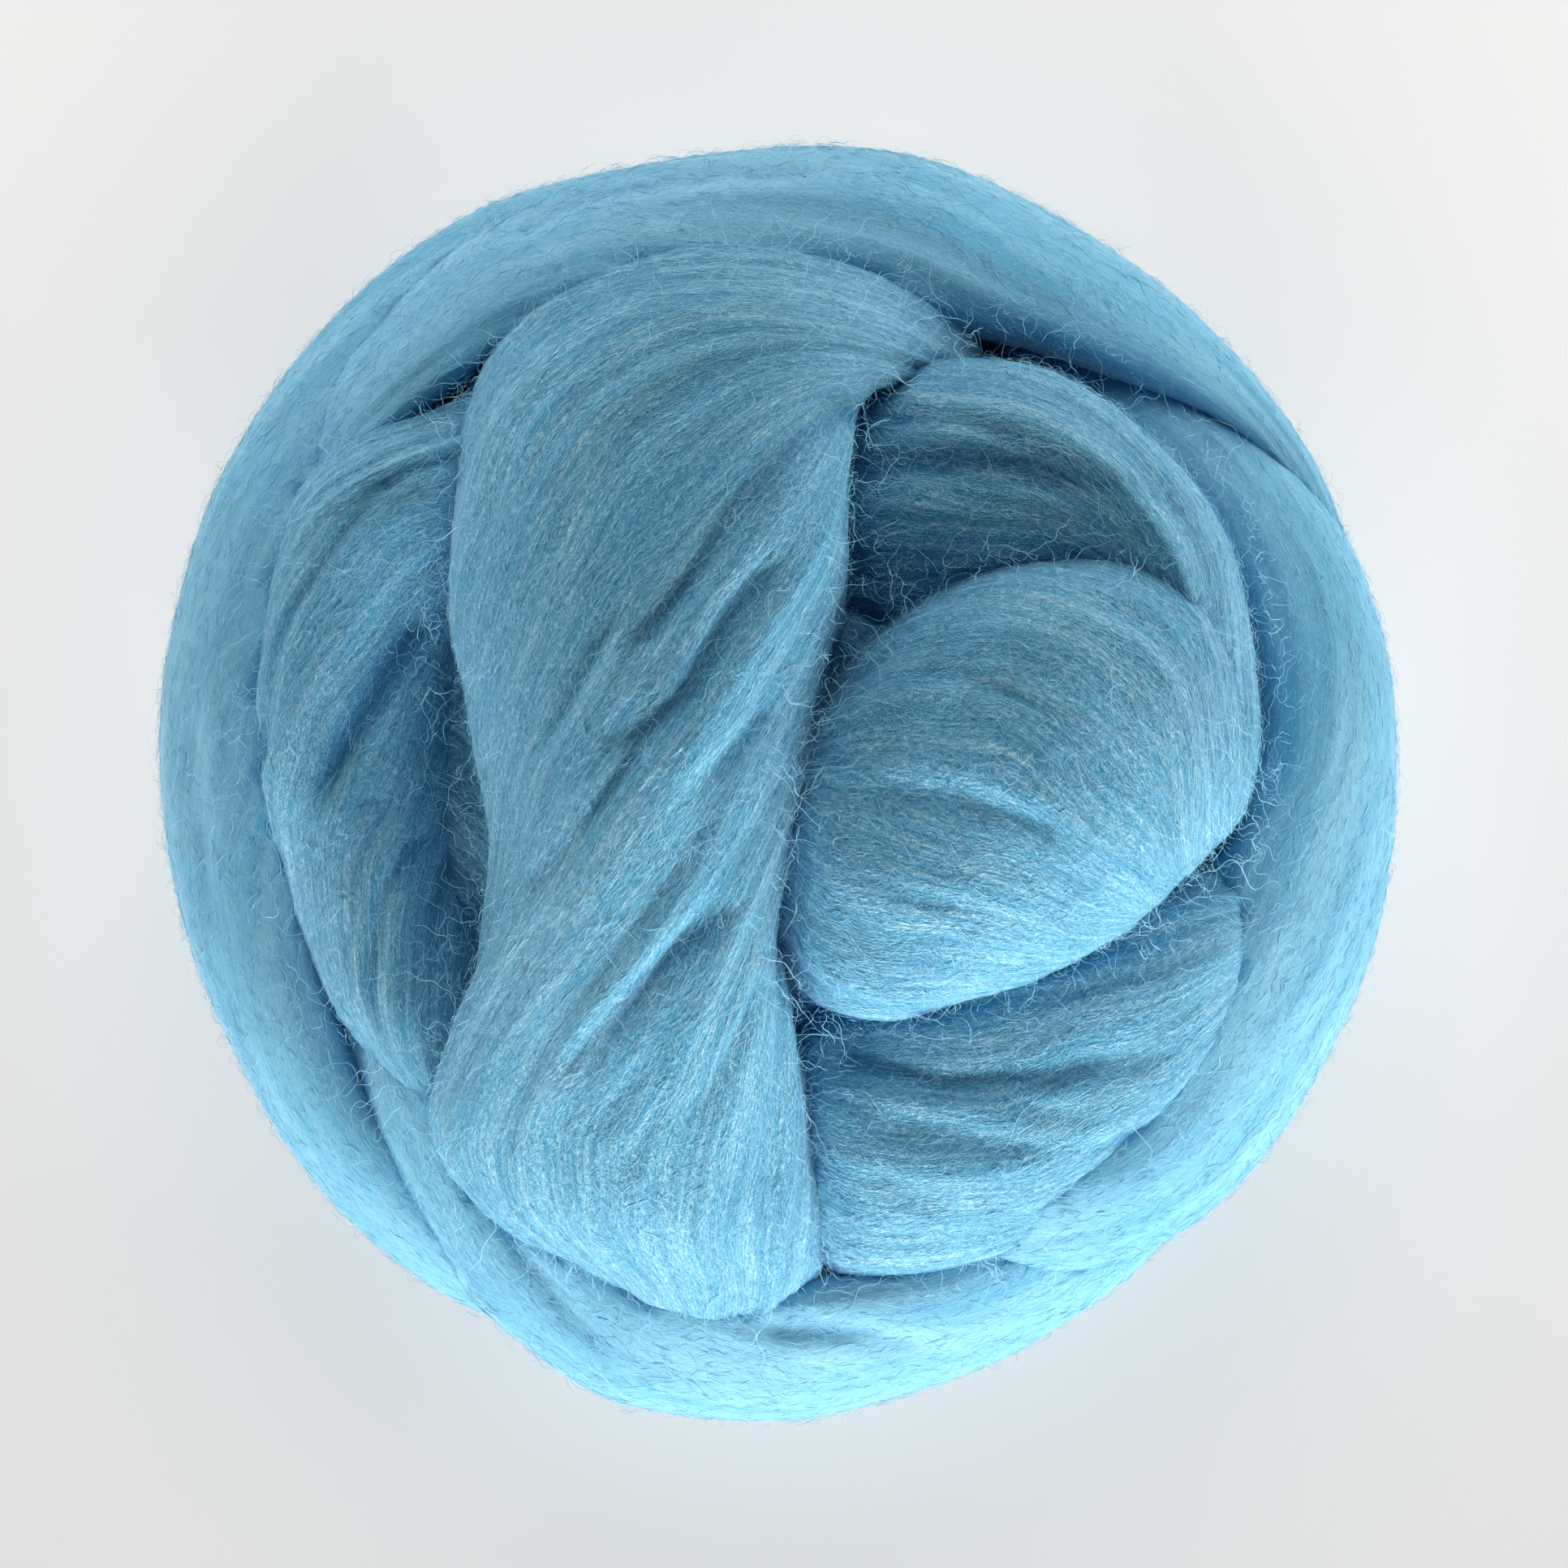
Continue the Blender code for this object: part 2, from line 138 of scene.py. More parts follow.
LEFT_ARC = (  # down the left of the top, with a deep crevice between it and the centre band
    (-22, 40, 47, -29, 50, 46, 9, 12, 0),
    (-27, 33, 47, -39.2, 43.4, 48, 11, 13, 15),
    (-30, 27, 45, -47.5, 39.9, 50, 12.5, 13, 30),
    (-33, 21, 43, -54.9, 34.1, 50, 13, 14, 45),
    (-34, 14, 40, -58.9, 26.3, 49, 13, 14, 60),
    (-34, 7, 38, -60.7, 17.5, 48, 13.5, 14, 75),
    (-34, 0, 37, -61.2, 8.7, 47.5, 13.5, 14, 90),
    (-33, -7, 37, -60.3, 0, 46.5, 13.5, 14, 105),
    (-33, -14, 38, -57.8, -8.5, 45, 13.5, 14, 120),
    (-33, -21, 40, -55.8, -17.5, 44, 13, 14, 130),
    (-33, -28, 42, -52.3, -26, 44, 12, 13, 140),
    (-33, -34, 43, -46.5, -34, 43, 10, 12, 150),
    (-32, -39.5, 43, -40.5, -41.5, 42, 7, 9, 160),
)
FAR_LOOP = (  # runs to the right over the hollow, then folds down along the right rim
    (3, 46, 50, 3, 16, 46, 10, 12, 0),
    (11, 48.5, 53, 11, 15, 48, 12, 13, 8),
    (20, 49.5, 54, 20, 17, 51, 13.5, 14, 16),
    (30.3, 48.5, 55, 30, 19, 53, 14, 15, 24),
    (38.6, 44.2, 55, 36, 19, 54, 14, 15, 32),
    (45.6, 37.9, 55, 40, 16, 54, 14, 15, 40),
    (51.2, 30.2, 54, 42, 12, 54, 14, 15, 48),
    (53.6, 22.4, 54, 42, 7, 54, 13.5, 15, 56),
    (55, 14, 53, 42, 2, 54, 13, 15, 64),
    (55.6, 6, 53, 42, -2, 53, 13, 15, 72),
    (54.8, -0.5, 52, 41, -5, 52, 13, 15, 80),
    (51.5, -6, 51, 39, -6, 51, 12, 14, 88),
    (44, -12, 50, 35, -6, 50, 11, 13, 96),
    (36, -19, 50, 29, -8, 50, 10, 12, 104),
    (26, -23, 50, 22, -10, 50, 9, 12, 112),
    (16, -24, 50, 15, -12, 50, 7, 10, 120),
)
NEAR_FAN = (  # opens like a fan from the knot beside the centre band, and dives at the right rim
    (-5, -20, 44, -5, -42, 42, 8, 10, 0),
    (1, -21, 46, 0, -51, 42, 11, 12, 5),
    (7, -19, 47, 5, -58.2, 42, 14, 14, 10),
    (13, -17, 47, 11.5, -59.4, 42, 16, 15, 15),
    (22, -15, 47, 21, -58.2, 42, 16.5, 16, 20),
    (32, -12, 47, 32, -54.1, 42, 16.5, 16, 25),
    (42, -9, 46, 42.3, -46.8, 42, 15.5, 15, 30),
    (48.8, -8, 45, 49.6, -38, 42, 13.5, 14, 35),
    (53.8, -8, 43, 54.2, -30.5, 41, 11, 12, 40),
    (56.2, -9, 39, 56.4, -27, 38, 8, 10, 45),
    (56.6, -10, 33, 56.8, -25, 33, 4, 6, 50),
)
BUN = (  # lies on the far loop, bulges up to the right of the centre, and dives at its right rim
    (-2, 2, 57, -5, -16, 55, 5, 8, 0),
    (4, 9, 60, 0, -20.5, 57, 9, 10, 6),
    (8.5, 14.5, 60, 3.6, -25.4, 57, 12.5, 12, 13),
    (14.5, 20.2, 60, 12, -27.5, 57, 15, 13, 22),
    (23.5, 24.8, 61, 21, -25.8, 57, 18, 14, 33),
    (32.5, 26.8, 61, 29, -23.4, 57, 19, 14, 46),
    (41.8, 26.3, 60, 35, -20.8, 57, 18, 14, 61),
    (49, 22.6, 59, 39.5, -17.8, 56.5, 16.5, 13, 77),
    (52.6, 14, 57, 42.5, -15.5, 55.5, 14.5, 13, 94),
    (54.6, 6, 54.5, 44.8, -13.3, 53, 12, 12, 110),
    (55.2, -0.5, 50, 46.8, -11.5, 49, 9.5, 10, 122),
    (54.8, -4, 44, 48, -10.5, 43, 6.5, 8, 132),
    (53, -5.5, 38, 47.5, -11, 38, 4, 6, 140),
)
CENTRE_BAND = (  # over the top from the far side to the near side, twisting as it goes
    (24, 46, 44, 24, 55, 44, 4, 5, 0),
    (18, 45.5, 53, 17, 58.6, 50, 6, 8, 10),
    (13.5, 45, 60, 6, 61.4, 55, 8.5, 9, 22),
    (11, 43.5, 64, -9, 62.4, 57, 9.5, 10, 35),
    (9.6, 41, 66, -23.7, 58.7, 56, 11, 12, 48),
    (8.8, 37, 67, -33.5, 49.4, 56, 12.5, 13, 63),
    (8.7, 30.5, 67, -37.4, 37, 57, 14, 14, 80),
    (8.6, 22, 66, -38, 21, 58, 15, 15, 100),
    (5, 8, 65, -35.4, 7, 59, 16, 16, 124),
    (1.6, -7.5, 64, -33, -7.5, 60, 15, 16, 151),
    (0.4, -18, 63, -34.2, -19, 59, 14, 15, 173),
    (2.4, -29, 60, -37.4, -29.5, 56, 14, 14, 195),
    (4.6, -42, 55, -39.4, -40, 52, 14, 14, 210),
    (5.6, -50.5, 51, -34.8, -49.2, 49, 13.5, 13, 220),
    (5.2, -57.5, 46, -26, -55.8, 45, 12, 12, 227),
    (2, -62.5, 42, -18, -61.5, 42, 9.5, 10, 232),
    (-3, -65, 38, -12.5, -64.6, 38, 5, 7, 235),
)

COIL_STEP = 9.0  # degrees between sections of a coil
COIL_TWIST = 0.8  # degrees that a coil's fibres turn round it for each degree round the nest
FULLNESS = 0.92  # under 1 fills a section's ellipse out towards a rounded box
END_LENGTH = 5.0  # a strand's ends are rounded off over this length
DRAWN_MIDDLE = (-0.13, -0.71, 0.0)  # the middle of the tables' form, which is on the Z axis

HEART = (  # the hidden middle windings that the folds lie on
    (-53, 3, 28, -53, -3, 28, 3, 20, 0),
    (-47, 26, 28, -47, -26, 28, 15, 26, 20),
    (-30, 45, 28, -30, -45, 28, 26, 27, 40),
    (0, 54, 28, 0, -54, 28, 31, 28, 60),
    (30, 45, 28, 30, -45, 28, 26, 27, 80),
    (47, 26, 28, 47, -26, 28, 15, 26, 100),
    (53, 3, 28, 53, -3, 28, 3, 20, 120),
)

# A groove between two locks on top of a strand: its depth, how far it reaches to either side
# and its path in plan
CREASES = {
    "centre_band": (
        (1.4, 1.6, ((7.5, 42), (2.1, 37.9), (-3.8, 30.7), (-8.7, 23.5), (-15, 15.5))),
        (1.3, 1.7, ((-1.1, 23.1), (-6, 16.8), (-10.5, 9.5), (-15.9, 5))),
        (0.8, 1.2, ((-19.5, 15.9), (-21.8, 11.4), (-24.1, 6.4))),
        (0.7, 1.0, ((-26.8, 43.8), (-29, 40.2), (-33.5, 27.6), (-34.7, 21.3))),
        (0.8, 1.2, ((0.3, 8.6), (-5.1, 3.7), (-8.7, 0.1))),
        (0.9, 1.2, ((-14.1, 5), (-19.1, -1.7), (-23.2, -6.7), (-27.7, -12.1))),
        (1.2, 1.4, ((-6, -13.9), (-11, -18.4), (-15, -22.4), (-23.2, -31))),
        (0.8, 1.2, ((-2.4, -23.3), (-5.1, -29.2), (-7.8, -36.4))),
        (0.8, 1.2, ((-15.5, -32.8), (-19.1, -37.7))),
        (0.7, 1.0, ((-13.7, -37.3), (-16.8, -42.7))),
    ),
    "far_loop": (
        (0.7, 1.2, ((13.1, 41.9), (20.5, 41), (27.9, 38.7))),
        (1.0, 1.5, ((9.9, 36.7), (23.3, 36.2), (33.4, 33.9), (44.4, 32.7))),
    ),
    "bun": (
        (0.6, 1.3, ((34.5, 20.4), (41.7, 17.7), (47.1, 15.2))),
        (0.5, 1.0, ((16.5, 13), (23.7, 11.4), (33.6, 8.5))),
        (0.9, 1.5, ((13.8, -0.2), (21, -1.4), (30, -5))),
        (0.7, 1.2, ((14.2, -12.1), (20.1, -14.3), (30.9, -17))),
    ),
    "near_fan": (
        (0.9, 1.7, ((8.7, -31.1), (18, -34.1), (31.9, -33.4), (43.1, -31.5))),
        (0.7, 1.0, ((23.5, -35.7), (28.2, -36.4), (34.7, -39.4))),
        (0.8, 1.6, ((14.2, -39), (24.5, -41.5), (34.7, -42.7), (44, -41.8))),
        (0.7, 1.2, ((11.4, -45.5), (17, -48.7))),
    ),
    "left_arc": (
        (0.9, 1.3, ((-44.3, 35.3), (-52.3, 26.9), (-57, 18.4), (-59.8, 3.4))),
        (1.3, 1.7, ((-41.5, 17.5), (-47.6, 9), (-51.8, 1))),
        (0.8, 1.2, ((-46.2, -2.3), (-48.1, -8.8), (-50, -19.2))),
        (0.8, 1.2, ((-42.4, -6.9), (-45.3, -11.6), (-46.9, -20.1), (-46.5, -27.1))),
    ),
    "left_coil": (
        (0.8, 1.7, ((-68.8, 6.3), (-68.6, -3.3), (-66.9, -12.8))),
    ),
    "near_coil": (
        (0.8, 1.7, ((-37.8, -41.3), (-30.2, -52.8), (-22.6, -64.2))),
        (0.6, 1.4, ((-43.5, -50.9), (-36.9, -59.4))),
        (1.0, 1.7, ((-0.7, -63.2), (9, -64.2), (15.3, -66.1))),
    ),
    "far_coil": (
        (1.0, 1.7, ((-29.9, 64.2), (-24.2, 68.2), (-10.1, 70.7), (4.1, 70.8))),
    ),
}

# ---------------- fineness, in millimetres
SKIN_ALONG = 2.2  # between rings of a skin's points
SKIN_AROUND = 0.62  # between points of a ring, on average
UNDERSIDE = 0.4  # a skin lower than this is pressed flat on the ground
HIDDEN_DEPTH = 1.5  # skin that lies deeper than this in another strand is left out
STEP_ALONG, STEP_AROUND = 0.4, 0.02  # to find directions, in millimetres and radians
FIBRE_MAP_STEP = 300  # between strands, along the fibre map

# The locks, as layers of noise: width across the fibres, length along them and height. A lock is
# rounded, with a narrow groove on either side.
Lock = namedtuple("Lock", "width length height")
LOCKS = (Lock(9.0, 110.0, 0.7), Lock(4.2, 60.0, 0.5), Lock(1.7, 30.0, 0.22))
LOCK_GAIN, GROOVE_SOFTNESS = 2.2, 0.02
LOCK_RADIUS, LEAST_RADIUS = 6.0, 4.0  # where a strand is thinner, its locks are flatter
PRESSED_LOCKS = 0.42  # share of their height that the coils' locks keep, pressed together
PRESSED_GRAIN = 0.3  # share of its contrast that the grain keeps there
CREASE_SWAY = (5.0, 0.6)  # a crease wavers over this length and by this much

FIBRES_AT_HEIGHT = ((1, 0.0), (6, 0.5), (30, 0.8), (45, 1.0))  # how often they start there

LAID_COUNT = 60000  # short arcs of fibre that lie roughly along a strand
LAID_LENGTH = (0.5, 2.2)
LAID_WIDTH = (0.05, 0.10)
LAID_SLANT, LAID_BOW = 0.45, 0.12  # typical shares of its length
LAID_LIFT, LAID_DEPTH = 0.10, 0.02  # of its middle, typically, and of its ends
LAID_TILT = 0.4
LAID_STREAKS = ((0.8, 20), (3, 45))  # width and length
LAID_TINT = 0.4
LAID_POINTS = 4
LAID_PIECES = 2

FUZZ_COUNT = 50000  # fine fibres that leave the skin at a low angle and soften every edge
FUZZ_LENGTH = (0.8, 3.2)
FUZZ_WIDTH = (0.025, 0.05)
FUZZ_RISE = (0.25, 0.45)  # on average, on top of a fold and on its sides
FUZZ_HIGHEST = 1.6
FUZZ_ON_SIDES = 1.5  # how much more of it there is on the sides
FUZZ_STRAY, FUZZ_BOW = 0.5, 0.25  # typical shares of its length
FUZZ_DEPTH = 0.05  # of its roots
FUZZ_POINTS = 4
FUZZ_PIECES = 3

LOOSE_COUNT = 4800  # curly fibres that lie loose over the top
LOOSE_LENGTH = (2.0, 14.0)
LOOSE_SHORTNESS = 2.2  # the higher it is, the fewer of them are long
LOOSE_WIDTH = (0.035, 0.075)
LOOSE_LOWEST = (30, 22)  # the skin's least height where one starts, and all along it
LOOSE_ON_TOP = 0.6  # how often one starts on high skin, to 1 in a deep crevice
LOOSE_FEWER = (42, 14, 0.06)  # height where that is least, the rise to most, and the least
LOOSE_STRAY = (1.2, 0.45)  # from the skin's fibres, in a crevice and elsewhere, in radians
LOOSE_WAVES = ((0.5, 0.9), (1.3, 0.5), (2.8, 0.3))  # waves along it, and their swing
CRIMP_LENGTH = (2.2, 4.0)
CRIMP_SWING = (0.15, 0.5)
LOOSE_HANG = (0.25, 1.0)  # share of the way up from the skin to the cover
LOOSE_LIFT = (0.12, 0.35)  # least height over that, and typical arch
LOOSE_POINTS = 20
LOOSE_PIECES = 2

SKY_RAYS = 64  # directions in which each point looks for open sky
SKY_SPAN = 1.3  # from 1, straight up, to a little below level
SKY_REACH = 28.0
SKY_LIFT = 0.3  # how far off the skin they start
SKY_GRAZING = 0.05  # those flatter to the skin than this are left out
SKY_COLUMNS = 4  # it is worked out at every so many columns of a skin
CREASE_SHADE = 0.4  # sky that a crease hides, for each millimetre of its depth

GRID_HALF = 82  # the height map's cells are 1 mm wide, on either side of the middle
NEST_REACH, NEST_TOP = 80, 200  # the nest is nowhere further out or higher than this
COVER_STEPS = (-2, -1, 1, 2)  # cells that the cover spreads from high skin
COVER_BLUR = 2.2
COVER_GAP = 1.0  # loose fibres hang this far below the cover
CREVICE = (1.5, 6)  # depth under the cover where one starts, and on to a deep one

rng = np.random.default_rng(SEED)
noise_table = rng.uniform(-1, 1, 4096)


# ---------------- numbers
def smooth_noise(points, layer):
    """Smooth noise from -1 to 1 at each row of points, on a lattice of unit cells."""
    points = np.asarray(points, dtype=float)
    cell = np.floor(points).astype(np.int64)
    share = points - cell
    share = share * share * (3 - 2 * share)
    total = np.zeros(len(points))
    for corner in itertools.product((0, 1), repeat=points.shape[1]):
        at = (cell + corner) * (73856093, 19349663, 83492791)[: points.shape[1]]
        key = np.bitwise_xor.reduce(at, axis=1)
        weight = np.prod(np.where(corner, share, 1 - share), axis=1)
        total += weight * noise_table[(key + layer * 977) & 4095]
    return total


def eased(rows, places):
    """Rows of a table at fractional places, on a smooth curve through them."""
    rows = np.asarray(rows, dtype=float)
    places = np.asarray(places, dtype=float)
    last = len(rows) - 1
    first = np.clip(places.astype(int), 0, last - 1)
    t = (places - first)[:, None]
    before, near, far, after = (rows[np.clip(first + k, 0, last)] for k in (-1, 0, 1, 2))
    return 0.5 * (
        ((2 - t) * t - 1) * t * before
        + ((3 * t - 5) * t * t + 2) * near
        + ((4 - 3 * t) * t + 1) * t * far
        + (t - 1) * t * t * after
    )


def unit(vectors):
    return vectors / np.maximum(np.linalg.norm(vectors, axis=-1, keepdims=True), 1e-9)


def distance_to_path(points, path):
    """Distance in plan from each point to a path of straight pieces."""
    nearest = np.full(len(points), np.inf)
    path = np.array(path, dtype=float)
    for start, end in zip(path, path[1:]):
        along = end - start
        share = np.clip((points - start) @ along / (along @ along), 0, 1)
        foot = start + share[:, None] * along
        nearest = np.minimum(nearest, np.linalg.norm(points - foot, axis=1))
    return nearest


def outline_radius(angle):
    place = (angle % 360.0) / OUTLINE_STEP
    first = int(place)
    share = 0.5 - 0.5 * math.cos(math.pi * (place - first))
    near = OUTLINE[first % len(OUTLINE)]
    far = OUTLINE[(first + 1) % len(OUTLINE)]
    return near + (far - near) * share


def coil_sections(rows):
    """Sections of a coil, every few degrees along its rows."""
    rows = [CoilRow(*row) for row in rows]
    travel = rows[-1].angle - rows[0].angle
    angles = np.linspace(rows[0].angle, rows[-1].angle, round(abs(travel) / COIL_STEP) + 1)
    way = math.copysign(1, travel)
    places = np.interp(angles * way, [row.angle * way for row in rows], range(len(rows)))
    sections = []
    for angle, values in zip(angles, eased(rows, places)):
        row = CoilRow(*values)
        outward = np.array([math.cos(math.radians(angle)), math.sin(math.radians(angle))])
        reach = outline_radius(angle) - row.inset
        outer = (*outward * reach, row.z)
        inner = (*outward * (reach - row.width), row.z + row.lean)
        left, right = (inner, outer) if travel > 0 else (outer, inner)
        turn = COIL_TWIST * abs(angle - rows[0].angle)
        sections.append(Section(*left, *right, row.rise, row.drop, turn))
    return sections


# ---------------- strands
class Strand:
    """A strand of roving. s runs along it in millimetres and phi goes round it in radians, from
    its left edge over its top. theta is phi less the twist, so a fibre keeps its theta."""

    def __init__(self, name, sections, layer):
        self.name = name
        self.rows = np.array(sections, dtype=float)
        self.layer = layer
        self.places = np.linspace(0, len(sections) - 1, 30 * len(sections))
        rows = eased(self.rows, self.places)
        middle = (rows[:, 0:3] + rows[:, 3:6]) / 2
        steps = np.linalg.norm(np.diff(middle, axis=0), axis=1)
        self.lengths = np.concatenate([[0], np.cumsum(steps)])
        self.length = self.lengths[-1]
        half_width = np.linalg.norm(rows[:, 0:3] - rows[:, 3:6], axis=1) / 2
        depth = (rows[:, 6] + rows[:, 7]) / 2
        self.radius = float(np.mean(np.sqrt((half_width**2 + depth**2) / 2)))
        self.pressed = name.endswith("coil")
        self.creases = CREASES.get(name, ())

    def rows_at(self, s):
        return eased(self.rows, np.interp(s, self.lengths, self.places))

    def turn(self, s):
        return np.radians(np.interp(s, self.lengths, eased(self.rows, self.places)[:, 8]))

    def locks(self, s, theta):
        """Height of the ridges of the locks, in millimetres."""
        height = np.zeros(len(s))
        for index, lock in enumerate(LOCKS):
            scale = self.radius / lock.width
            place = np.stack([np.cos(theta) * scale, np.sin(theta) * scale, s / lock.length], 1)
            noise = smooth_noise(place, self.layer * 7 + index)
            ridge = LOCK_GAIN * np.sqrt(noise**2 + GROOVE_SOFTNESS) - LOCK_GAIN / 2
            height += lock.height * ridge
        return height * (PRESSED_LOCKS if self.pressed else 1)

    def sunk(self, points):
        """How deep the creases are at these points."""
        reach, amount = CREASE_SWAY
        sway = [smooth_noise(points[:, :2] / reach, 200 + k) for k in (0, 1)]
        plan = points[:, :2] + amount * np.stack(sway, axis=1)
        depth = np.zeros(len(points))
        for deepest, width, path in self.creases:
            gap = distance_to_path(plan, path)
            depth = np.maximum(depth, deepest * np.exp(-((gap / width) ** 2)))
        return depth

    def skin(self, s, phi, lift=0.0):
        """Points of the skin, raised by lift."""
        rows = self.rows_at(s)
        left, right = rows[:, 0:3], rows[:, 3:6]
        cosine, sine = np.cos(phi), np.sin(phi)
        bulge = np.where(sine > 0, rows[:, 6], rows[:, 7])
        out = (left - right) / 2 * (np.sign(cosine) * np.abs(cosine) ** FULLNESS)[:, None]
        out[:, 2] += bulge * np.sign(sine) * np.abs(sine) ** FULLNESS
        end = np.clip(np.minimum(s, self.length - s) / END_LENGTH, 0, 1)
        out *= np.sqrt(end * (2 - end))[:, None]
        length = np.linalg.norm(out, axis=1)
        height = self.locks(s, phi - np.radians(rows[:, 8]))
        height = height * np.minimum(length / LOCK_RADIUS, 1) + lift
        if self.creases:
            points = (left + right) / 2 + out
            height -= self.sunk(points) * np.clip(1.5 * sine + 0.5, 0, 1)
        return (left + right) / 2 + out * (1 + height / np.maximum(length, LEAST_RADIUS))[:, None]

    def frames(self, s, phi, lift=0.0):
        """Points on the skin, the directions of the fibres there and the outward normals."""
        here = self.skin(s, phi, lift)
        theta = phi - self.turn(s)
        ahead_s = np.minimum(s + STEP_ALONG, self.length)
        behind_s = np.maximum(s - STEP_ALONG, 0)
        ahead = self.skin(ahead_s, theta + self.turn(ahead_s), lift)
        behind = self.skin(behind_s, theta + self.turn(behind_s), lift)
        along = unit(ahead - behind)
        around = self.skin(s, phi + STEP_AROUND, lift) - self.skin(s, phi - STEP_AROUND, lift)
        return here, along, unit(np.cross(around, along))


STRANDS = {
    "low_coil": coil_sections(LOW_COIL),
    "left_coil": coil_sections(LEFT_COIL),
    "near_coil": coil_sections(NEAR_COIL),
    "right_coil": coil_sections(RIGHT_COIL),
    "far_coil": coil_sections(FAR_COIL),
    "heart": HEART,
    "left_arc": LEFT_ARC,
    "far_loop": FAR_LOOP,
    "near_fan": NEAR_FAN,
    "bun": BUN,
    "centre_band": CENTRE_BAND,
}


def to_frame(points):
    """From the tables' millimetres to the shared frame, never under the table."""
    points = (np.asarray(points) - DRAWN_MIDDLE) * MM
    points[:, 2] = np.maximum(points[:, 2], 0.0)
    return points


# ---------------- meshes
def add_object(name, data):
    thing = bpy.data.objects.new(name, data)
    bpy.context.scene.collection.objects.link(thing)
    return thing


def mesh_piece(name, points, quads, uv_maps, material, tint, sky):
    """A smooth mesh of quads that moves with the nest and stands for the CAD solid. uv_maps hold
    one row for each corner of the quads, in order, and tint and sky one value for each point."""
    mesh = bpy.data.meshes.new(name)
    mesh.vertices.add(len(points))
    mesh.vertices.foreach_set("co", to_frame(points).astype(np.float32).ravel())
    mesh.loops.add(quads.size)
    mesh.loops.foreach_set("vertex_index", quads.astype(np.int32).ravel())
    mesh.polygons.add(len(quads))
    mesh.polygons.foreach_set("loop_start", np.arange(0, quads.size, 4, dtype=np.int32))
    for map_name, uv in uv_maps.items():
        layer = mesh.uv_layers.new(name=map_name)
        layer.data.foreach_set("uv", np.asarray(uv, np.float32).ravel())
    for value_name, values in (("tint", tint), ("sky", sky)):
        layer = mesh.attributes.new(value_name, "FLOAT", "POINT")
        layer.data.foreach_set("value", np.asarray(values, np.float32))
    mesh.update(calc_edges=True)
    mesh.shade_smooth()
    mesh.materials.append(material)
    piece = add_object(name, mesh)
    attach(piece, "root")
    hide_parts("roving")


class Skin:
    """A strand's skin: rings of points along s, and columns of them that follow the fibres."""

    def __init__(self, strand):
        self.strand = strand
        self.rings = round(strand.length / SKIN_ALONG)
        self.columns = round(TURN * strand.radius / SKIN_AROUND)
        self.s = np.linspace(0, strand.length, self.rings)
        self.turns = strand.turn(self.s)
        self.theta = np.linspace(0, TURN, self.columns + 1)
        s, theta = np.meshgrid(self.s, self.theta[:-1], indexing="ij")
        phi = theta + self.turns[:, None]
        self.points = strand.skin(s.ravel(), phi.ravel())
        ring, column = np.indices((self.rings - 1, self.columns)).reshape(2, -1)
        after = (column + 1) % self.columns
        here, there = ring * self.columns, (ring + 1) * self.columns
        self.quads = np.stack([here + column, here + after, there + after, there + column], axis=1)
        self.ring, self.column = ring, column
        self.tree = BVHTree.FromPolygons(self.points.tolist(), self.quads.tolist())
        self.centres = self.points[self.quads].mean(axis=1)
        self.shown = np.ones(len(self.quads), bool)
        self.sky = np.ones((self.rings, self.columns))

    def areas(self):
        """The areas of the quads, and how far each faces straight up or down, from 0 to 1."""
        a, b, c, d = (self.points[self.quads[:, k]] for k in range(4))
        normals = np.cross(c - a, d - b) / 2
        area = np.linalg.norm(normals, axis=1)
        return area, np.abs(normals[:, 2]) / np.maximum(area, 1e-9)

    def random_places(self, chosen):
        """A random place in each chosen quad, as s and theta, and the sky there."""
        ring, column = self.ring[chosen], self.column[chosen]
        s = np.interp(ring + rng.random(len(chosen)), range(self.rings), self.s)
        theta = (column + rng.random(len(chosen))) * TURN / self.columns
        return s, theta, self.sky[ring, column]

    def covers(self, point):
        """Whether a point lies deep under this skin."""
        place, normal, _, _ = self.tree.find_nearest(point, 40.0)
        return place is not None and (place - point).dot(normal) > HIDDEN_DEPTH

    def add(self, material):
        """The shown part as a piece. Its UV map is in millimetres across and along the fibres,
        with its seam on the underside of the strand."""
        ring, column = self.ring[self.shown], self.column[self.shown]
        rings = np.stack([ring, ring, ring + 1, ring + 1], axis=1)
        columns = np.stack([column, column + 1, column + 1, column], axis=1)
        phi = self.theta[column] + self.turns[ring]
        whole_turns = np.floor((phi + math.pi / 2) / (TURN))
        theta = self.theta[columns] - TURN * whole_turns[:, None]
        across = theta * self.strand.radius
        along = self.s[rings] + FIBRE_MAP_STEP * self.strand.layer
        fibre = np.stack([across, along], axis=2).reshape(-1, 2)
        bake = np.stack([columns / self.columns, rings / (self.rings - 1)], axis=2).reshape(-1, 2)
        used, quads = np.unique(self.quads[self.shown], return_inverse=True)
        uv_maps = {"OFBake": bake, "fibre": fibre}
        name = f"{self.strand.name}_skin"
        quads = quads.reshape(-1, 4)
        sky = self.sky.ravel()[used]
        mesh_piece(name, self.points[used], quads, uv_maps, material, np.zeros(len(used)), sky)


def hide_buried(skins):
    """Leaves out the parts of each skin that lie deep inside another strand. Where two strands are
    pressed flat on the ground together, the underside of the first one stays."""
    for (rank, skin), (other_rank, other) in itertools.permutations(enumerate(skins), 2):
        low, high = other.points.min(axis=0), other.points.max(axis=0)
        inside = np.all((skin.centres > low - UNDERSIDE) & (skin.centres < high), axis=1)
        if rank < other_rank:
            inside &= skin.centres[:, 2] > UNDERSIDE
        for index in np.flatnonzero(skin.shown & inside):
            if other.covers(Vector(skin.centres[index])):
                skin.shown[index] = False


